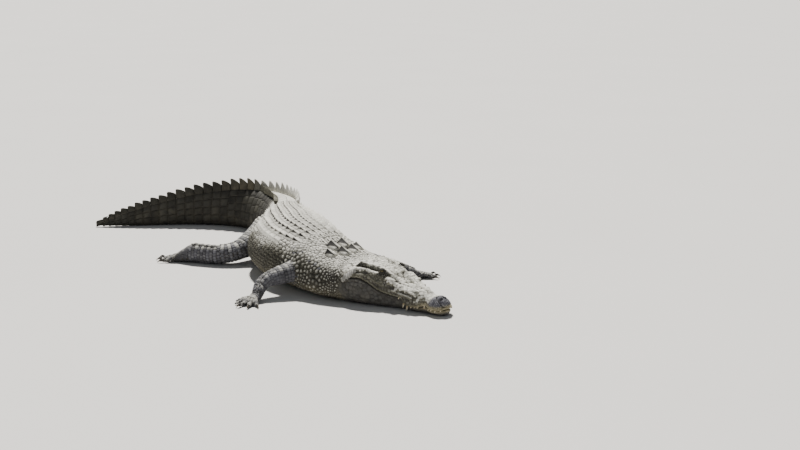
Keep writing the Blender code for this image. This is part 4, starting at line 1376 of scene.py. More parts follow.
def build_back_scutes(material):
    """Keeled scutes in rows across the back."""
    coat, rows = Coat("back_scutes", 0), back_places()
    rows[:, 0] += coat.rng.uniform(-0.002, 0.002, len(rows))
    rows[:, 4] *= coat.rng.uniform(0.85, 1.15, len(rows))
    rows[:, 3] *= 0.97
    s, arc = rows.T[:2]
    template = Template(12, 0.16, blade(2.6, 0.62, 0.13), edge=0.08)
    on_body(coat, template, rows, skin_offset(s, arc)[0], (1.0, 2.1), 0.024)
    obj = coat.mesh()
    # Painted shadows beside the keels of the columns near the midline, uneven from scute to scute.
    share = coat.rng.uniform(0.75, 1.0, len(s)) * smooth(-0.16, 0.01, arc) * smooth(0.22, 0.17, arc)
    darken_keels(obj.data, [(template, share, 0.74)])
    return finish_piece(obj, material, "body_hide")


def darken_keels(mesh, scales):
    """Dark hide down the right side of each scale's keel: a template, how much of it, how wide."""
    keel_shadow = []
    for template, share, wide in scales:
        reach = wide * np.clip((template.u + 1.0) / 2, 0, 1) ** 0.75
        flank = smooth(0.03, 0.09, template.v) * smooth(reach + 0.08, reach - 0.10, template.v)
        keel_shadow.append((share[:, None] * (flank * (template.high > -0.5))).ravel())
    keel_shadow = np.concatenate(keel_shadow)
    for name, change in (("dusk", lambda old: np.maximum(old, 1.4 * keel_shadow)),
                         ("dust", lambda old: old * (1 - np.clip(1.3 * keel_shadow, 0, 1)))):
        data = mesh.attributes[name].data
        data.foreach_set("value", change(read(data, "value", kind=np.float32)).astype(np.float32))


def build_neck_shield(material):
    """The six large scutes behind the head, and small ones round them."""
    coat = Coat("neck_shield", 1)
    large = Template(16, 0.60, blade(1.25, 0.62, 0.18), edge=0.12)
    rows = np.array(NECK_SHIELD) * (1, 1.03, 1, 1.08, 1.22)
    on_body(coat, large, rows, np.full(6, 0.001), (0.6, 1.1), 0.034, sink=0.008)
    small = Template(10, 0.5, blade(2.0, 0.75, 0.25), edge=0.20)
    rows = np.array([(at, sign * arc, 0.040, 0.036, 0.016)
                     for at, arcs in SHIELD_ROWS for arc in arcs for sign in (1, -1)])
    on_body(coat, small, rows, skin_offset(*rows.T[:2])[0], (0.6, 1.1), 0.019)
    obj = coat.mesh()
    # Painted shadows beside the keels, full on the large scutes and weaker on the small ones.
    darken_keels(obj.data, [(large, np.full(6, 1.0), 1.05), (small, np.full(len(rows), 0.8), 0.74)])
    return finish_piece(obj, material, "body_hide")


def whorl_starts():
    """Distances at which the tail's whorls begin, and where the last one ends."""
    starts = [TRUNK_END]
    while starts[-1] + WHORL_LENGTH(starts[-1]) < TOTAL_LENGTH - SHORTEST_WHORL:
        starts.append(starts[-1] + float(WHORL_LENGTH(starts[-1])))
    return starts + [TOTAL_LENGTH]


def build_tail_crest(material):
    """Upright saw-edged flaps, in two rows that merge into one, each standing on its own whorl."""
    coat, starts = Coat("tail_crest", 2), whorl_starts()
    template = Template(8, 0.0, lambda u, v: 0 * u, edge=0.0, cells_across=6)
    for sign in (1, -1, 0):
        first, last = (0, SINGLE_CREST_FROM) if sign else (SINGLE_CREST_FROM, len(starts) - 1)
        s = np.array(starts[first:last])
        size = np.array(starts[first + 1:last + 1]) - s
        tall = CREST_HEIGHT(s + 0.84 * size) * coat.rng.uniform(0.88, 1.02, len(s))
        valley = CREST_VALLEY(s)
        if sign > 0:
            valley = np.maximum(valley, np.interp(s, (2.3, 2.8), (0.80, 0.45)))
            tall = tall * np.interp(s, (2.0, 2.45, 2.75, 2.95), (0.30, 0.38, 0.62, 1.0))
        thick = np.minimum(0.008, BODY_HALF(s) * 0.42)

        def where(u, v, high):
            share = np.clip((u[None] + 1) / 2, 0.0, 1.0)
            at = s[:, None] + size[:, None] * (0.01 + 0.97 * share)
            side = sign * CREST_SIDE(at)
            top = BODY_TOP(at)
            across = np.sin(v * math.pi / 2)[None]
            low, past = valley[:, None], np.maximum(share - CREST_PEAK, 0)
            front = low + (1 - low) * np.sin(np.minimum(share / CREST_PEAK, 1) * math.pi / 2)
            saw = np.where(share < CREST_PEAK, front, 1 - (1 - low) * (past / 0.20) ** 1.6)
            up = np.cos(np.clip(v, -1, 1) * math.pi / 2)[None] ** 0.8 + 0 * share
            root = high[None] < 0
            rise = np.where(root, -0.022, up * saw * tall[:, None])
            level = np.clip(rise / np.maximum(tall[:, None], 1e-4), 0, 1)
            foot = 1 + 0.8 * np.exp(-(rise / 0.010) ** 2) * (rise >= 0)
            half = thick[:, None] * (1 - 0.72 * level) * foot
            half = half * np.clip(1.15 - 0.5 * np.abs(2 * share - 1) ** 3, 0.4, 1.1)
            lean = side * (1 + 0.18 * level)
            groove = 1 + 0.16 * np.sin(share * 16 + 2.0 * level)
            rearward = 0.30 * np.maximum(rise, 0) * level
            out = across * half * groove * np.where(root, 1.1, 1.0)
            return place(at + rearward, lean + out, np.maximum(top + rise, 0.004))

        centre = place(s + size / 2, sign * CREST_SIDE(s), BODY_TOP(s) + 0.02)
        marks = markings(centre, np.repeat([[0.0, 0.0, 0.35]], len(s), axis=0), BODY_PART, s)
        # Painted sunlight: the far row's flaps near the tail's root made nearly white.
        marks["dust"] = np.maximum(marks["dust"], 0.95 * smooth(2.95, 2.55, s) * (sign < 1))
        marks["dusk"] = 0.92 * smooth(2.6, 3.0, s)
        # Painted glow of the sun shining through the thin flaps, as a reddish tint.
        marks["warm"] = 0.75 * smooth(2.80, 2.92, s) * smooth(3.20, 3.08, s)
        uv = np.stack([0.02 + 0.95 * (s - TRUNK_END) / 2.2, np.full(len(s), 0.5 + 0.2 * sign)], 1)
        coat.add(template, where, marks, uv)
    obj = coat.mesh()
    points = coordinates(obj.data)
    d, _ = spine_places(points)
    rise = np.clip((points[:, 2] - BODY_TOP(d)) / np.maximum(CREST_HEIGHT(d), 0.01), 0, 1)
    obj.data.attributes["rise"].data.foreach_set("value", (0.25 + 0.70 * rise).astype(np.float32))
    return finish_piece(obj, material, "tail_hide")


def spine_places(points):
    """Distance behind the snout of points, by the nearest place on the spine, and their side."""
    index = nearest(MADE["spine"], points * [1, 1, 0])
    back = SPINE_BACK[index]
    rel = points[:, :2] - SPINE_LINE[index]
    right = np.stack([-back[:, 1], back[:, 0]], axis=1)
    return SPINE_AT[index] + (rel * back).sum(1), (rel * right).sum(1)


# Plates down each side of a whorl: from this distance on, how many.
TAIL_ROWS = ((2.00, 7), (2.35, 6), (2.75, 5), (3.15, 4), (3.60, 3), (3.95, 2))


def build_tail_scales(material):
    """Whorls of upright rectangles down each side, plates between the crests, and wide ones below."""
    coat, starts, rows = Coat("tail_scales", 3), whorl_starts(), []
    for first, following in zip(starts, starts[1:]):
        size, s = following - first, (first + following) / 2
        half = float(BODY_CHART.half_girth(s))
        crest = float(CREST_SIDE(s)) * 1.02 + min(0.011, 0.35 * float(BODY_HALF(s)))
        count = [n for at, n in TAIL_ROWS if at <= s][-1]
        below, middle = 0.22 * half, crest - 0.022
        step = (half - below - crest) / count
        plates = [(crest + (k + 0.5) * step, step, 0.0045) for k in range(count)]
        plates.append((half - below / 2, below, 0.0022))
        if middle > 0.016:
            plates.append((middle / 2, middle, 0.0060))
        rows += [(s, sign * arc, size, width, height)
                 for arc, width, height in plates for sign in (1, -1)]
    rows = np.array(rows)
    rows[:, 0] += coat.rng.uniform(-0.0015, 0.0015, len(rows))
    offset, found = skin_offset(*rows.T[:2])
    rows = rows[found]
    clear = rows[:, 2:4].min(axis=1) / 2
    rows[:, 2:4] *= 0.985
    rows[:, 4] *= np.clip(BODY_HALF(rows[:, 0]) / 0.03, 0.35, 1.0)
    template = Template(7, 0.14, plate, edge=0.22, crowd=1.9)
    on_body(coat, template, rows, offset[found], (1.95, 4.25), clear)
    return finish_piece(coat.mesh(), material, "tail_hide")


def body_scales(coat, template, rows, span, share=0.80, sink=0.0035):
    """Small scales laid on the skin where the chart puts them, clear of what is there already."""
    s, arc, length, width, _ = rows.T
    centre = BODY_CHART.at(s, arc)
    along, _, out = BODY_CHART.axes(s, arc)
    spots = drop_on_skin(
        centre + out * SKIN_REACH, -out, 2 * SKIN_REACH, along=along, size=rows[:, 2:], s=s,
        outward=out, radius=np.sqrt(length * width) / 2, uv=body_uv(s, arc, span))
    spots.keep((spots.at[:, 2] > 0.0012) & ((spots.out * spots.outward).sum(1) > 0.55))
    spots.keep(keep_clear(spots.at, spots.radius, share))
    lay(coat, template, spots, BODY_PART, sink=sink, bend=2.5)


def flank_rows(rng):
    """Staggered rows down each flank: distance, arc, length, width and height of every scale."""
    rows = []
    length, width = FLANK_SCALE
    for arc_step, arc in enumerate(np.arange(0.10, 0.68, FLANK_ROW)):
        for s in np.arange(1.035, 2.14, FLANK_STEP):
            start = np.interp(s, (1.05, 1.16, 1.20, 1.78, 1.82, 1.95, 2.10),
                              (0.205, 0.215, 0.290, 0.285, 0.215, 0.170, 0.125))
            end = float(BODY_CHART.arc_at_height(s, 0.060))
            if arc < start or arc > end:
                continue
            at = s + (0.0138 if arc_step % 2 else 0.0) + rng.uniform(-0.002, 0.002)
            lower = (arc - start) / max(end - start, 0.01)
            big = np.interp(lower, (0, 0.15, 1.0), (1.18, 1.0, 0.86)) * rng.uniform(0.9, 1.08)
            tall = np.interp(lower, (0, 0.5, 1.0), (0.0095, 0.0070, 0.0035)) * rng.uniform(0.7, 1.2)
            for sign in (1, -1):
                wobble = rng.uniform(-0.0015, 0.0015)
                rows.append((at, sign * (arc + wobble), length * big, width * big, tall))
    return np.array(rows)


def build_flank_scales(material):
    """Small keeled ovals down the flanks."""
    coat = Coat("flank_scales", 4)
    body_scales(coat, Template(4, 0.85, keel(1.2, 0.55), edge=0.30), flank_rows(coat.rng), (1.0, 2.2))
    return finish_piece(coat.mesh(), material, "body_hide")


def build_neck_scales(material):
    """Close-set raised bumps of many sizes over neck, nape and shoulder."""
    points, out = skin_places()
    s, up = MADE["distance"], out[:, 2]
    size = NECK_BUMP * np.interp(up, (-0.5, 0.2, 0.7, 1.0), (0.82, 1.05, 0.90, 0.70))
    size = size * (0.62 + 0.76 * noise(points, 0.040, 55)) * np.interp(s, (0.70, 0.82), (0.66, 1.0))
    tall = size * np.interp(up, (-0.3, 0.3, 0.75, 1.0), (0.20, 0.36, 0.32, 0.20))
    tall = tall * (0.65 + 0.7 * noise(points, 0.020, 56))
    inside = (MADE["part"] == BODY_PART) & (s > 0.672) & (s < 1.085) & (points[:, 2] > 0.035)
    obj = lay_tiles("neck_scales", 5, np.where(inside, size, 0.0), tall, (0.6, 1.2), BUMP_RINGS,
                    cap=0.70, sink=0.004)
    return finish_piece(obj, material, "body_hide")


def build_belly_scales(material):
    """Flat four-cornered scales in cross rows under throat, belly and tail root."""
    coat, rows = Coat("belly_scales", 6), []
    for s in np.arange(0.700, 2.02, BELLY_STEP):
        start = float(BODY_CHART.arc_at_height(s, BELLY_EDGE))
        end = float(BODY_CHART.half_girth(s))
        count = max(2, round((end - start) / BELLY_PLACE))
        arcs = start + (np.arange(count) + 0.5) * (end - start) / count
        rows += [(s, sign * arc, *BELLY_PLATE) for arc in arcs for sign in (1, -1)]
    template = Template(3, 0.18, plate, edge=0.45)
    body_scales(coat, template, np.array(rows), (0.6, 2.1), share=0.78, sink=0.003)
    return finish_piece(coat.mesh(), material, "body_hide")


def skin_places():
    """Points of the skin and its normals there."""
    return coordinates(MADE["skin"].data), normals(MADE["skin"].data)


def lay_tiles(name, seed, spacing, height, span, rings=TILE_RINGS, cap=0.85, margin=None, sink=0.0025):
    """Close-fitting scales: each reaches half way to its neighbours, corner by corner on the skin.

    spacing and height hold a value for every point of the skin, and 0 where no scale goes. margin
    says how far inside the piece a place is, and no scale crosses it."""
    coat, tile = Coat(name, seed), Tile(rings)
    points, out = skin_places()
    order = coat.rng.permutation(np.nonzero(spacing)[0])
    order = order[keep_clear(points[order], spacing[order] / 2, 1.0, among=True)]
    centre, out, spacing, height = points[order], out[order], spacing[order], height[order]
    tree = search_tree(centre)
    near = np.array([[found[1] for found in tree.find_n(point, TILE_NEIGHBOURS + 1)][1:]
                     for point in centre.tolist()])
    along = unit(np.cross(out, np.cross(np.array([[0.0, 1.0, 0.1]]), out)))
    across = np.cross(out, along)

    def flat(east, north):
        return centre[:, None] + along[:, None] * east[..., None] + across[:, None] * north[..., None]

    rel = centre[near] - centre[:, None]
    u, v = ((rel * axis[:, None]).sum(2)[..., None] for axis in (along, across))
    apart = np.maximum(np.hypot(u, v), 1e-4)
    east, north = np.cos(tile.turn), np.sin(tile.turn)
    towards = (u * east + v * north) / apart
    bound = np.maximum(apart / 2 - TILE_GAP, 1e-4) / np.maximum(towards, 0.05)
    bound = np.where(towards > 0.05, bound, 1.0)
    reach = TILE_SPREAD * (bound ** -TILE_SHARPNESS).sum(1) ** (-1 / TILE_SHARPNESS)
    reach = np.minimum(reach, cap * spacing[:, None])
    if margin:
        beyond = margin(flat(reach * east, reach * north).reshape(-1, 3)).reshape(reach.shape)
        own = np.maximum(margin(centre), 1e-4)[:, None]
        reach = reach * np.where(beyond < 0, np.clip(own / (own - beyond), 0.2, 1.0), 1.0)
    corners = flat(reach * tile.u, reach * tile.v).reshape(-1, 3)
    found = [MADE["tree"].find_nearest(corner) for corner in corners.tolist()]
    onto = np.array([place[0] for place in found])
    hollow = MADE["hollow"][MADE["first_corner"][[place[2] for place in found]]]
    lift = np.where(tile.high < 0, -sink, tile.high * height[:, None])
    where = onto.reshape(*reach.shape, 3) + out[:, None] * lift[..., None]
    s, side = spine_places(centre)
    around = 0.5 + 0.48 * np.arctan2(side, centre[:, 2] - 0.10) / math.pi
    root = np.stack([0.01 + 0.98 * np.clip((s - span[0]) / (span[1] - span[0]), 0, 1), around], 1)
    count = len(tile.high)
    even = unit(out + out[near[:, :8]].mean(1) * 2)
    even = unit(np.repeat(even, count, 0) + 0.8 * np.array([place[1] for place in found]))
    share = 0.5 * hollow + 0.5 * np.repeat(MADE["hollow"][order], count)
    marks = markings(onto, even, BODY_PART, np.repeat(s, count), share)
    coat.add(tile, lambda u, v, high: where, marks, root)
    return coat.mesh()


def head_zone(points):
    """Distance, height over the mouth line, how far the nearer eye is, whether plates go there,
    and half the gap they leave along the mouth."""
    d, side, z = head_places(points)
    above = z - GAPE(d)
    eye = np.minimum(*(np.linalg.norm(points - eye_axes(sign)[0], axis=1) for sign in (1, -1)))
    inside = (d < 0.672) & (np.abs(side) < HEAD_HALF) & (z > 0.004) & (eye > 0.0305)
    low = z < BROW_TOP(d) - 0.030
    inside &= (near_line(d, np.abs(side), NOSTRIL, 0.0062) < 0.45) | low
    slit = np.where(d < 0.57, 0.0045, 0.0)
    return d, above, eye, inside, slit


def build_snout_scales(material):
    """Close-fitting plates over snout, cheeks and table, small and knobbly on the nose."""
    points, out = skin_places()
    d, above, eye, inside, slit = head_zone(points)
    top = smooth(0.50, 0.80, out[:, 2])
    size = SNOUT_PLATE + 0.0040 * top * smooth(0.12, 0.20, d) - 0.0030 * (1 - top) * smooth(0.46, 0.50, d)
    size = size * (0.62 + 0.38 * smooth(0.095, 0.130, d)) * (0.60 + 0.40 * smooth(0.035, 0.065, eye))
    size = size * (0.66 + 0.68 * noise(points, 0.028, 51))
    tall = np.interp(d, (0.08, 0.13, 0.45, 0.50), (0.0017, 0.0010, 0.0010, 0.0009))
    tall = tall * (0.5 + 1.0 * noise(points, 0.015, 52))

    def margin(places):
        _, over, far, _, gap = head_zone(places)
        return np.minimum(over - 0.6 * gap, far - 0.0275)

    size = np.where(inside & (above > slit), size, 0.0)
    obj = lay_tiles("snout_scales", 14, size, tall, (0.0, 0.72), margin=margin)
    return finish_piece(obj, material, "head_hide")


def build_corner_folds(material):
    """The rolled, ribbed fold of skin behind the corner of the mouth."""
    coat = Coat("corner_folds", 15)
    template = Template(8, 0.80, rib, edge=0.08)
    share = (np.arange(CORNER_RIBS) + 0.5) / CORNER_RIBS
    zero = 0 * share
    size = np.stack([zero + 0.0172, 0.026 + 0.016 * np.sin(math.pi * share ** 0.8), zero + 0.0060], 1)
    d, z = 0.652 - 0.076 * share, 0.143 + 0.070 * share
    for sign in (1, -1):
        start = place(d, sign * 0.30, z)
        along = place(d - 0.010, sign * 0.2, z + 0.010) - place(d, sign * 0.2, z)
        uv = np.stack([0.1 + 0.6 * share, zero + (0.5 + 0.3 * sign)], 1)
        spots = drop_on_skin(start, unit(place(d, sign * 0.10, z) - start), 0.25, along=along,
                             size=size, s=zero + 0.60, uv=uv)
        spots.out = unit(spots.out + 0.8 * unit(spots.out.mean(axis=0)))
        for step in (0.0, 0.016, -0.016):
            keep_clear(spots.at + [0, 0, step], 0.012)
        lay(coat, template, spots, BODY_PART, sink=0.006,
            marks={"dust": 0.42, "dusk": 0.12, "blue": 0.5})
    return finish_piece(coat.mesh(), material, "head_hide")


def build_jaw_scales(material):
    """Low close-fitting plates on jowl and throat."""
    points, _ = skin_places()
    _, above, _, inside, slit = head_zone(points)
    size = JAW_PLATE * (0.70 + 0.60 * noise(points, 0.035, 53))
    tall = 0.0005 + 0.0006 * noise(points, 0.02, 54)

    def margin(places):
        _, over, _, _, gap = head_zone(places)
        return -over - 0.6 * gap

    size = np.where(inside & (above < -slit), size, 0.0)
    obj = lay_tiles("jaw_scales", 7, size, tall, (0.0, 0.72), margin=margin)
    return finish_piece(obj, material, "jaw_hide")


def ring_targets(stations, spacing, rng, row_step):
    """Rings of rays in to a leg or palm: starts, directions, and where and how the limb lies there."""
    centre, along, wide, tall = stations
    across, up = section_axes(along)
    run, found = run_of(centre), []
    for k, at in enumerate(np.arange(0.01, run[-1], row_step)):
        c, a, b, w = (columns_at(at, run, table) for table in (centre, across, up, along))
        half, rise = np.interp(at, run, wide), np.interp(at, run, tall)
        girth = 2 * math.pi * math.hypot(half, rise) / math.sqrt(2)
        count = max(6, round(girth / spacing))
        for i in range(count):
            turn = 2 * math.pi * (i + 0.5 * (k % 2) + rng.uniform(-0.08, 0.08)) / count
            ray = a * math.cos(turn) + b * math.sin(turn)
            reach = 1.6 * math.hypot(half * math.cos(turn), rise * math.sin(turn)) + 0.02
            found.append((c + ray * reach, -ray, w, at, reach, turn, half))
    return [np.array(column) for column in zip(*found)]


def build_leg_scales(material):
    """Rings of small scales round each leg."""
    coat = Coat("leg_scales", 8)
    template = Template(5, 0.55, low_dome, edge=0.30)
    for n, limb in enumerate(LIMBS.values()):
        spacing = LEG_SCALE[limb["digits"]]
        start, ray, along, at, reach, turn, half = ring_targets(
            limb_stations(limb), spacing, coat.rng, spacing * 0.98)
        uv = np.stack([0.02 + 0.22 * n + 0.20 * at / 0.7, 0.02 + 0.96 * (turn / 6.8)], 1)
        spots = drop_on_skin(start, ray, float(reach.max()), away=start, along=along, s=at,
                             half=half, uv=uv)
        spots.keep((np.linalg.norm(spots.at - spots.away, axis=1) > 0.012) & (spots.at[:, 2] > 0.004))
        spots.keep(keep_clear(spots.at, spacing / 2, 0.80))
        big = coat.rng.uniform(0.90, 1.08, (len(spots.s), 1))
        spots.size = np.array([[spacing * 1.08, spacing * 1.05, 0.0036]]) * big
        lay(coat, template, spots, LEG_PART, bend=1 / np.maximum(spots.half, 0.03))
    return finish_piece(coat.mesh(), material, "leg_hide")


def build_foot_scales(material):
    """Cross plates down each digit and small scales over each palm."""
    coat = Coat("foot_scales", 9)
    template = Template(3, 0.35, plate, edge=0.45)
    for n, limb in enumerate(LIMBS.values()):
        palm = PALMS[limb["digits"]]
        for m, (base, along, length) in enumerate(digit_lines(limb)):
            centre, _, wide, _ = digit_stations(palm, base, along, length, 60)
            run = np.linspace(0, length, 60)
            at = np.arange(0.012, length - 0.003, DIGIT_STEP)
            half, zero = np.interp(at, run, wide), 0 * at[:, None]
            size = np.stack([at * 0 + 0.0110, half * 2.0, at * 0 + 0.0013], 1)
            uv = np.stack([0.03 + 0.24 * n + 0.04 * m + at * 0, 0.05 + at * 6], 1)
            above = columns_at(at, run, centre) + [0, 0, 0.05]
            spots = drop_on_skin(above, zero + [0, 0, -1.0], 0.09, along=zero + along, s=at, size=size,
                                 half=half, uv=uv)
            keep_clear(spots.at, 0.010)
            lay(coat, template, spots, FOOT_PART, sink=0.0055, bend=0.85 / spots.half)
        start, ray, along, at, reach, turn, _ = ring_targets(
            palm_stations(limb), PALM_SCALE, coat.rng, PALM_STEP)
        uv = np.stack([0.03 + 0.24 * n + 0.20 * at / 0.2, 0.75 + 0.035 * turn], 1)
        spots = drop_on_skin(start, ray, float(reach.max()), along=along, s=at, uv=uv)
        spots.keep((spots.at[:, 2] > 0.003) & (spots.out[:, 2] > -0.4))
        spots.keep(keep_clear(spots.at, 0.0062, 0.84))
        big = coat.rng.uniform(0.85, 1.05, (len(spots.s), 1))
        spots.size = np.array([[0.0125, 0.0120, 0.0014]]) * big
        lay(coat, template, spots, FOOT_PART)
    return finish_piece(coat.mesh(), material, "leg_hide")


def build_shank_fringe(material):
    """A saw-toothed row of raised scales along the rear edge of each leg's lower length."""
    coat = Coat("shank_fringe", 10)
    template = Template(6, 0.35, keel(1.3, 0.9), edge=0.15)
    for n, name in enumerate(("hind_right", "hind_left", "fore_right", "fore_left")):
        size, tall, start, lean = FRINGES[name[:4]]
        centre, along, _, _ = limb_stations(LIMBS[name], 60)
        run = run_of(centre)
        at = np.arange(run[-1] * start, run[-1] + 0.001, size * 0.92)
        c, a, b, w = (columns_at(at, run, table) for table in (centre, *section_axes(along), along))
        outer = -np.sign((a * (c - place(1.6, 0.0, 0.1))).sum(1, keepdims=True))
        ray = unit(b * 0.90 - outer * a * lean)
        uv = np.stack([0.05 + at * 1.2, at * 0 + (0.1 + 0.2 * n)], 1)
        spots = drop_on_skin(c + ray * 0.13, -ray, 0.2, along=w, s=at, uv=uv)
        spots.size = np.repeat([[size * 1.15, size * 0.8, tall]], len(spots.s), 0)
        keep_clear(spots.at, size * 0.4)
        lay(coat, template, spots, LEG_PART)
    return finish_piece(coat.mesh(), material, "leg_hide")


def build_granules(material):
    """Small round scales that fill what the larger ones leave bare."""
    coat, shape, mesh = Coat("granules", 12), bpy.context.scene.croc_shape, MADE["skin"].data
    centres, outs = read(mesh.polygons, "center", 3), read(mesh.polygons, "normal", 3)
    face = np.repeat(np.arange(len(centres)), read(mesh.polygons, "loop_total", kind=np.int32))
    wide = read(mesh.polygons, "area", kind=np.float32)[face] > WIDE_FACE
    corners = read(mesh.loops, "vertex_index", kind=np.int32)[wide]
    between = (centres[face[wide]] + coordinates(mesh)[corners]) / 2
    centres, outs = np.concatenate([centres, between]), np.concatenate([outs, outs[face[wide]]])
    distance, side, _ = head_places(centres)
    open_skin = ~((distance < 0.655) & (np.abs(side) < HEAD_HALF)) & (centres[:, 2] > 0.006)
    order = coat.rng.permutation(np.nonzero(open_skin)[0])[:GRANULE_TRIES]
    part, s = nearest_samples(centres[order])
    bare = ~((part == BODY_PART) & (s > TRUNK_END + 0.02))
    spots = Spots(at=centres[order], out=outs[order], part=part, s=s)
    spots.keep(bare)
    spots.wide = shape.granule * coat.rng.uniform(0.84, 1.20, len(spots.s))
    clear = np.nonzero(keep_clear(spots.at, spots.wide / 2, 0.80, among=True))[0]
    spots.keep(clear[:shape.granule_count])
    spots.size = spots.wide[:, None] * [1.0, 0.95, 0.24]
    spots.along = np.repeat([[0.0, 1.0, 0.1]], len(spots.s), 0)
    spots.uv = 0.02 + 0.96 * coat.rng.random((len(spots.s), 2))
    lay(coat, Template(2, 1.0, dome, edge=0.45), spots, spots.part, sink=0.003)
    return finish_piece(coat.mesh(), material, "body_hide")


# ---------------------------------------------------------------- eyes, teeth and claws
TOOTH_RADIUS = 0.0062
LOWER_TOOTH_OUT = 0.0045
CLAW_SIDES = 14
CLAW_STEPS = 18
CLAW_ARCH = 0.008
CLAW_TIP_HEIGHT = 0.0015
CLAW_ROOT = 0.010


def horn(name, centre, wide, tall, across, up, sides=CLAW_SIDES, steps=CLAW_STEPS):
    """A closed curved cone: a ball whose rings are moved to the places given down its length."""
    obj = ball(name, sides, steps)
    points = coordinates(obj.data)
    share = 1 - np.arccos(np.clip(points[:, 2], -1, 1)) / math.pi
    turn = np.arctan2(points[:, 1], points[:, 0])
    pole = np.abs(points[:, 2]) > 0.9999
    at = np.linspace(0, 1, len(wide))
    reach = np.where(pole, 0.0, 1.0)
    x = np.interp(share, at, wide) * np.cos(turn) * reach
    z = np.interp(share, at, tall) * np.sin(turn) * reach
    set_coordinates(obj.data, columns_at(share, at, centre) + across * x[:, None] + up * z[:, None])
    face_outward(obj)
    set_attribute(obj.data, "share", share)
    return obj


def join_pieces(name, objects):
    activate(objects[0])
    for obj in objects:
        obj.select_set(True)
    bpy.ops.object.join()
    return named(name)


def claw_material(look):
    """Dark horn, paler and worn towards the point, with fine streaks along it."""
    n = Nodes("claw_horn")
    share = n.attribute("share")
    streak, grain = n.noise(0.004, 3.0, 0.6, (1, 1, 4)), n.noise(0.0012, 2.0)
    colour = n.mix(look.claw, look.claw_tip, n.step(share, 0.35, 1.0) * (0.45 + 0.6 * streak))
    colour = n.mix(colour, look.dirt, (1 - n.step(share, 0.02, 0.22)) * 0.8)
    return n.finish(base_color=colour, roughness=0.34 + 0.25 * streak,
                    normal=n.bump(streak + 0.4 * grain, 0.0005))


def tooth_material(look):
    """Ivory with brown stain at the root and fine lengthwise checks."""
    n = Nodes("tooth_ivory")
    share = n.attribute("share")
    streak, cloud = n.noise(0.0022, 3.0, 0.6, (1, 1, 0.3)), n.noise(0.012, 2.0)
    colour = n.mix(look.ivory, (0.30, 0.21, 0.10, 1), (1 - n.step(share, 0.10, 0.62)) * 0.85)
    colour = n.mix(colour, (0.42, 0.33, 0.18, 1), n.step(streak * 0.6 + cloud * 0.5, 0.5, 0.75) * 0.4)
    return n.finish(base_color=colour, roughness=0.26 + 0.25 * streak,
                    normal=n.bump(streak, 0.0004))


def eye_material(look):
    """A wet golden-brown iris round an upright slit, with darker streaks and a dark rim."""
    n = Nodes("eye_amber")
    ring, slit = n.attribute("ring"), n.attribute("slit")
    streak, fleck = n.noise(0.0020, 4.0, 0.7), n.noise(0.0009, 3.0)
    iris = n.mix(look.iris, look.iris_dark, n.step(streak, 0.42, 0.62))
    iris = n.mix(iris, (0.34, 0.28, 0.10, 1), n.step(fleck, 0.58, 0.72) * 0.5)
    iris = n.mix(iris, look.near_black, n.step(ring, 0.62, 0.84))
    colour = n.mix(iris, (0.004, 0.004, 0.004, 1), 1 - n.step(slit, 0.0, 0.35))
    return n.finish(base_color=colour, roughness=0.06 + 0.05 * streak, coat_weight=0.8,
                    normal=n.bump(fleck, 0.0001, 0.3))


def build_eyes(scene):
    """Eyeballs with a slightly bulging cornea."""
    material = eye_material(scene.croc_hide)
    for sign, name in ((1, "right"), (-1, "left")):
        centre, gaze, ahead, up = eye_axes(sign)
        obj = ball(f"eyeball_{name}", 56, 40, EYE_RADIUS * 0.985)
        points = coordinates(obj.data)
        facing = points[:, 2] / np.linalg.norm(points, axis=1)
        points *= (1 + 0.05 * smooth(0.72, 0.95, facing))[:, None]
        x, y = points[:, 0] / EYE_RADIUS, points[:, 1] / EYE_RADIUS
        set_attribute(obj.data, "ring", np.arccos(np.clip(facing, -1, 1)) / (math.pi / 2))
        width = 0.085 * np.sqrt(np.clip(1 - (y / 0.62) ** 2, 0, 1)) + 0.002
        set_attribute(obj.data, "slit", np.where(facing > 0, np.clip(np.abs(x) / width - 1, 0, 3), 3.0))
        set_coordinates(obj.data, centre + points @ np.stack([ahead, up, gaze]))
        face_outward(obj)
        finish_piece(obj, material, "eye", f"eye_{name}")


# Section of an eyelid: degrees past its edge, and radius as a share of the eyeball's.
LID_SECTION = (
    (0.0, 1.005), (-1.5, 1.045), (-0.5, 1.095), (4.0, 1.125), (11.0, 1.120), (19.0, 1.165),
    (30.0, 1.185), (46.0, 1.20), (62.0, 1.12), (62.0, 1.01), (40.0, 1.005), (18.0, 1.005),
)
# How far the lids stand open above and below, and how far their corners lie, in degrees.
LID_UPPER, LID_LOWER, LID_CORNER = 15.0, 20.0, 50.0
LID_STEPS = 72


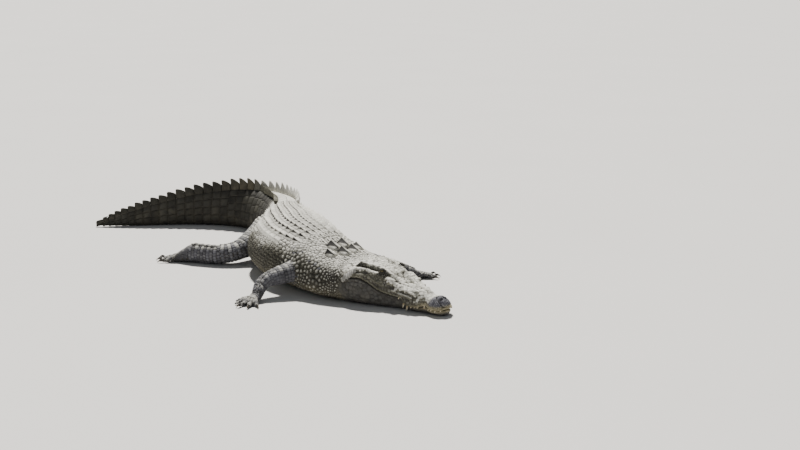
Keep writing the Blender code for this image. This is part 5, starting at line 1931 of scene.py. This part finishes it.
def build_lids(material):
    """Thick upper and lower lids round an almond opening, with a crease and a beaded rim."""
    for sign, name in ((1, "right"), (-1, "left")):
        centre, gaze, ahead, up = eye_axes(sign)
        deselect()
        bpy.ops.mesh.primitive_torus_add(
            major_segments=LID_STEPS, minor_segments=len(LID_SECTION), major_radius=1.0,
            minor_radius=0.3)
        obj = named(f"eyelids_{name}")
        count = len(LID_SECTION)
        k = np.arange(len(obj.data.vertices))
        turn, step = 2 * math.pi * (k // count) / LID_STEPS, k % count
        section = np.array(LID_SECTION)[step]
        bow = np.where(np.sin(turn) > 0, LID_UPPER, LID_LOWER) * (np.cos(turn) / LID_CORNER) ** 2
        tall = np.abs(np.sin(turn))
        opening = np.where(np.sin(turn) > 0, LID_UPPER, LID_LOWER) * 2
        opening = opening / (tall + np.sqrt(tall ** 2 + 2 * bow * opening))
        angle = np.radians(opening + section[:, 0])
        beads = 0.010 * np.sin(turn * 24) * (np.abs(section[:, 0] - 3) < 6) * (section[:, 1] > 1.05)
        brow = 0.05 * np.clip(np.sin(turn), 0, 1) * (section[:, 1] > 1.1)
        reach = EYE_RADIUS * (section[:, 1] + beads + brow)
        rim = np.stack([np.cos(turn), np.sin(turn)], 1) * (np.sin(angle) * reach)[:, None]
        points = centre + rim[:, :1] * ahead + rim[:, 1:] * up + (np.cos(angle) * reach)[:, None] * gaze
        set_coordinates(obj.data, points)
        face_outward(obj)
        apply_modifier(obj, "SUBSURF", levels=1, render_levels=1)
        points, out = coordinates(obj.data), normals(obj.data)
        edge = np.linalg.norm(points - centre, axis=1) / EYE_RADIUS
        marks = markings(points, out, BODY_PART, EYE[0])
        # Painted shade on the lids under the brow: little dust, and dark at least this much.
        marks["dust"], marks["dusk"] = 0.25 * marks["dust"], np.maximum(marks["dusk"], 0.75)
        mark_mesh(obj.data, marks, np.clip((edge - 1.0) * 3.2, 0, 0.75), 0.5)
        finish_piece(obj, material, "head_hide")


def build_teeth(scene):
    """Curved cones along the edge of the closed mouth, upper ones over the lower lip."""
    rng, share, made = np.random.default_rng(SEED + 20), np.linspace(0, 1, 9), []
    rows = [(*row, sign, lower) for lower, teeth in enumerate((UPPER_TEETH, LOWER_TEETH))
            for row in teeth for sign in (1, -1)]
    for k, (d, length, sign, lower) in enumerate(rows):
        d = d + rng.uniform(-0.002, 0.002)
        mouth = float(GAPE(d))
        if lower:
            side = float(CHEEK(d)) + LOWER_TOOTH_OUT - 0.002
            level = mouth - 0.012 + share * length * 0.92
            out = side - 0.003 * share ** 2
        else:
            side = float(LIP(d)) - 0.0015
            level = np.maximum(mouth + 0.008 - share * (length + 0.006), 0.003)
            out = side + 0.0040 * np.sin(share * 2.2)
        thick = TOOTH_RADIUS * (0.80 + 9.0 * length * 0.7) * (1 - share ** 1.7) ** 0.75
        centre = place(np.full(9, d) + 0.006 * share ** 2, sign * out, level)
        made.append(horn(f"tooth_{k}", centre, thick, thick * 0.86, AHEAD, RIGHT, 12, 12))
    finish_piece(join_pieces("teeth", made), tooth_material(scene.croc_hide), "tooth")


def build_claws(scene):
    """Long curved claws on the inner three digits of every foot."""
    material, share = claw_material(scene.croc_hide), np.linspace(0, 1, 15)
    arch = CLAW_TIP_HEIGHT + CLAW_ARCH * np.sin(math.pi * share)
    taper = np.interp(share, (0, 0.12, 0.45, 0.80, 1.0), (0.75, 1.05, 0.74, 0.36, 0.06))
    for limb_name, limb in LIMBS.items():
        palm = PALMS[limb["digits"]]
        radius, reach = palm["radius"] * CLAW_SHARE, palm["claw"] + CLAW_ROOT
        for i, (base, along, length) in enumerate(digit_lines(limb)[:CLAWED_DIGITS]):
            centre = base + along * (length - CLAW_ROOT) + along * reach * share[:, None]
            centre[:, 2] = radius * 1.25 * (1 - share ** 2) + arch
            thick, across = radius * taper, unit(np.cross(along, UP))
            obj = horn(f"horn_{limb_name}_{i + 1}", centre, thick * 0.80, thick * 1.15, across, UP)
            finish_piece(obj, material, "claw", f"{limb_name}_claw_{i + 1}")


# ---------------------------------------------------------------- stage
def build_stage(scene):
    """A pale floor, soft lights and the camera."""
    stage = scene.croc_stage
    deselect()
    bpy.ops.mesh.primitive_plane_add(size=stage.floor_size, location=(0, 0, 0))
    floor = named("studio_floor")
    n = Nodes("floor_paint")
    cloud = n.noise(1.8, 3.0)
    colour = n.mix(stage.floor_colour, (0.62, 0.61, 0.59, 1), cloud * 0.35)
    floor.data.materials.append(n.finish(base_color=colour, roughness=0.75 + 0.1 * cloud))

    world = scene.world = bpy.data.worlds.new("studio")
    world.use_nodes = True
    background = world.node_tree.nodes["Background"]
    background.inputs["Color"].default_value = stage.sky_colour
    background.inputs["Strength"].default_value = stage.sky_strength

    for name, kind, where, power, spread, tint in (
        ("key", "SUN", stage.key_place, stage.key_power, stage.key_spread, (1.0, 0.965, 0.91)),
        ("fill", "AREA", stage.fill_place, stage.fill_power, stage.fill_size, (0.90, 0.95, 1.0)),
    ):
        light = bpy.data.lights.new(name, kind)
        light.energy, light.color = power, tint
        setattr(light, "angle" if kind == "SUN" else "size", spread)
        obj = link(name, light)
        obj.location = where
        aim = Vector((0, 0, 0.15)) - Vector(where)
        obj.rotation_euler = aim.to_track_quat("-Z", "Y").to_euler()

    camera = link("camera", bpy.data.cameras.new("camera"))
    camera.data.lens, camera.data.sensor_width = stage.lens, 36.0
    camera.location = stage.camera_place
    camera.rotation_euler = (math.radians(90.0) + stage.camera_tilt, 0.0, stage.camera_turn)
    scene.camera = camera


# ---------------------------------------------------------------- settings
def setting(kind, name, description, default, **more):
    """A property of a settings group. Its kind is Float, FloatVector or Int."""
    make = getattr(bpy.props, f"{kind}Property")
    return make(name=name, description=description, default=default, **more)


def length_setting(name, description, default, high=100.0):
    return setting("Float", name, description, default, min=0.0, max=high, precision=4, unit="LENGTH",
                   subtype="DISTANCE")


def colour_setting(name, description, default):
    return setting("FloatVector", name, description, default, size=4, min=0.0, max=1.0, subtype="COLOR")


def place_setting(name, description, default):
    return setting("FloatVector", name, description, default, size=3, unit="LENGTH",
                   subtype="TRANSLATION")


def angle_setting(name, description, degrees):
    return setting("Float", name, description, math.radians(degrees), subtype="ANGLE", unit="ROTATION")


class CROC_PG_hide(bpy.types.PropertyGroup):
    """Colours of hide, horn, teeth and eyes."""

    olive: colour_setting("Olive", "Ground colour of flank, jaw and tail", (0.150, 0.143, 0.105, 1))
    blue_grey: colour_setting("Blue grey", "Ground colour of legs and feet", (0.180, 0.182, 0.225, 1))
    belly: colour_setting("Belly", "Yellowish cream of belly and throat", (0.400, 0.350, 0.215, 1))
    # Pale of the dried mud, also used for painted highlight and lit faces.
    dust: colour_setting("Dust", "Pale dried mud on every upward face", (0.820, 0.805, 0.735, 1))
    mud: colour_setting("Damp mud", "Greenish patches in the dried mud", (0.500, 0.505, 0.430, 1))
    # Dark of the spots and bars, also used for painted shade.
    near_black: colour_setting("Near black", "Spots and bars", (0.020, 0.019, 0.017, 1))
    dirt: colour_setting("Dirt", "What fills the gaps between the scales", (0.050, 0.045, 0.034, 1))
    ivory: colour_setting("Ivory", "Crowns of the teeth", (0.720, 0.660, 0.500, 1))
    claw: colour_setting("Claw", "Roots of the claws", (0.030, 0.026, 0.022, 1))
    claw_tip: colour_setting("Claw tip", "Worn points of the claws", (0.200, 0.165, 0.110, 1))
    iris: colour_setting("Iris", "Golden ground of the iris", (0.150, 0.118, 0.042, 1))
    iris_dark: colour_setting("Iris streaks", "Darker streaks of the iris", (0.055, 0.045, 0.018, 1))


class CROC_PG_shape(bpy.types.PropertyGroup):
    """How finely the skin is made and how far its relief stands."""

    voxel: length_setting("Skin mesh", "Edge of the skin's faces before its head is refined", 0.0090)
    relief: setting("Float", "Head relief", "Height of the head's ridges and folds", 1.0, min=0.0,
                    max=2.0, subtype="FACTOR")
    granule: length_setting("Granule", "Width of the smallest scales", 0.0125)
    granule_count: setting("Int", "Granules", "Most small round scales that are set", 9000, min=0)


class CROC_PG_stage(bpy.types.PropertyGroup):
    """Floor, lights and camera."""

    floor_size: length_setting("Floor", "Side of the floor", 400.0, high=900.0)
    floor_colour: colour_setting("Floor colour", "Pale paint of the floor", (0.70, 0.69, 0.67, 1))
    sky_colour: colour_setting("Surround", "Colour of the room's soft light", (0.86, 0.90, 0.96, 1))
    sky_strength: setting("Float", "Surround strength", "Strength of the room's light", 0.20, min=0.0)
    key_place: place_setting("Key", "Where the large key light shines from", (2.9, 6.6, 10.4))
    key_spread: angle_setting("Key softness", "Angle the key light fills", 4.0)
    key_power: setting("Float", "Key strength", "Strength of the key light", 8.0, min=0.0)
    fill_place: place_setting("Fill", "Place of the fill light", (-6.0, -5.0, 4.0))
    fill_size: length_setting("Fill size", "Side of the fill light", 5.0)
    fill_power: setting("Float", "Fill power", "Power of the fill light", 30.0, min=0.0, unit="POWER")
    camera_place: place_setting("Camera", "Place of the camera", (-3.7527, -7.153, 1.966))
    camera_tilt: angle_setting("Tilt", "Tilt above the level line", -12.03)
    camera_turn: angle_setting("Turn", "Turn about the upright", -34.0)
    lens: setting("Float", "Lens", "Focal length in millimetres", 54.0, min=10.0, unit="CAMERA")


# ---------------------------------------------------------------- operators
def hide(kind):
    """The hide of one kind of surface, made once and shared."""
    finishes = MADE.setdefault("hides", {})
    if kind not in finishes:
        finishes[kind] = hide_material(f"{kind}_hide", bpy.context.scene.croc_hide, **HIDES[kind])
    return finishes[kind]


# How the kinds of hide differ: dirt between scales, cracks and pits (their size), pale tops of worn hide
# and painted highlight, how much scales vary, and how deep the pits are.
HIDES = {
    "skin": {"crevice": 0.90, "cracked": 0.009},
    "scale": {"crevice": 0.95},
    "leg": {"crevice": 0.55, "worn": 0.12},
    "belly": {"crevice": 0.50},
    "knob": {"crevice": 0.95, "worn": 0.55},
    "head": {"crevice": 0.45, "pitted": 0.0030, "worn": 0.15, "varied": 0.20},
    "scute": {"crevice": 0.30, "pitted": 0.0050, "worn": 0.08, "varied": 0.26, "sunk": 1.1},
    "crest": {"crevice": 0.35, "pitted": 0.006, "worn": 0.06},
    "tail": {"crevice": 0.80, "pitted": 0.005, "worn": 0.03},
    "jaw": {"crevice": 0.26, "worn": 0.05, "varied": 0.26},
}


def spread_samples():
    """Search trees over the animal's parts and spine that markings and scales look up."""
    points, part, distance = chart_samples()
    MADE["samples"] = (search_tree(points), part, distance)
    MADE["spine"] = search_tree(np.pad(SPINE_LINE, ((0, 0), (0, 1))))


def step_operator(build, kind=None):
    """An operator class for one builder, which gets the hide of its kind, or the scene."""
    name = build.__name__.removeprefix("build_")

    def execute(self, context):
        if kind and "skin" not in MADE:
            raise RuntimeError("make the skin first: this piece is laid on it")
        build(hide(kind) if kind else context.scene)
        return {"FINISHED"}

    members = {"bl_idname": f"crocodile.{name}", "bl_label": name.replace("_", " ").capitalize(),
               "__doc__": build.__doc__, "execute": execute}
    return type(f"CROC_OT_{name}", (bpy.types.Operator,), members)


GROUPS = {"croc_hide": CROC_PG_hide, "croc_shape": CROC_PG_shape, "croc_stage": CROC_PG_stage}
# Every step in its order: its builder, and the kind of hide that its piece wears.
STEPS = tuple(step_operator(*row) for row in (
    (build_skin,), (build_back_scutes, "scute"), (build_neck_shield, "scute"),
    (build_tail_crest, "crest"), (build_tail_scales, "tail"), (build_shank_fringe, "scale"),
    (build_corner_folds, "jaw"), (build_snout_scales, "head"), (build_neck_scales, "knob"),
    (build_flank_scales, "scale"), (build_belly_scales, "belly"), (build_jaw_scales, "jaw"),
    (build_leg_scales, "leg"), (build_foot_scales, "leg"), (build_granules, "scale"),
    (build_eyes,), (build_lids, "skin"), (build_teeth,), (build_claws,), (build_stage,),
))


class CROC_PT_steps(bpy.types.Panel):
    """Lists every step of the build, in its order"""

    bl_idname = "CROC_PT_steps"
    bl_label = "Crocodile"
    bl_space_type = "VIEW_3D"
    bl_region_type = "UI"
    bl_category = "Crocodile"

    def draw(self, context):
        for step in STEPS:
            self.layout.operator(step.bl_idname)
        for key, group in GROUPS.items():
            box = self.layout.box()
            for name in group.__annotations__:
                box.prop(getattr(context.scene, key), name)


def register():
    for cls in (*GROUPS.values(), *STEPS, CROC_PT_steps):
        bpy.utils.register_class(cls)
    for key, group in GROUPS.items():
        setattr(bpy.types.Scene, key, bpy.props.PointerProperty(type=group))


def unregister():
    for key in GROUPS:
        delattr(bpy.types.Scene, key)
    for cls in reversed((*GROUPS.values(), *STEPS, CROC_PT_steps)):
        bpy.utils.unregister_class(cls)


def main():
    register()
    for step in STEPS:
        started = time.time()
        getattr(bpy.ops.crocodile, step.bl_idname.split(".")[1])()
        print(f"{step.bl_label}: {time.time() - started:.1f} s")


if __name__ == "__main__":
    main()
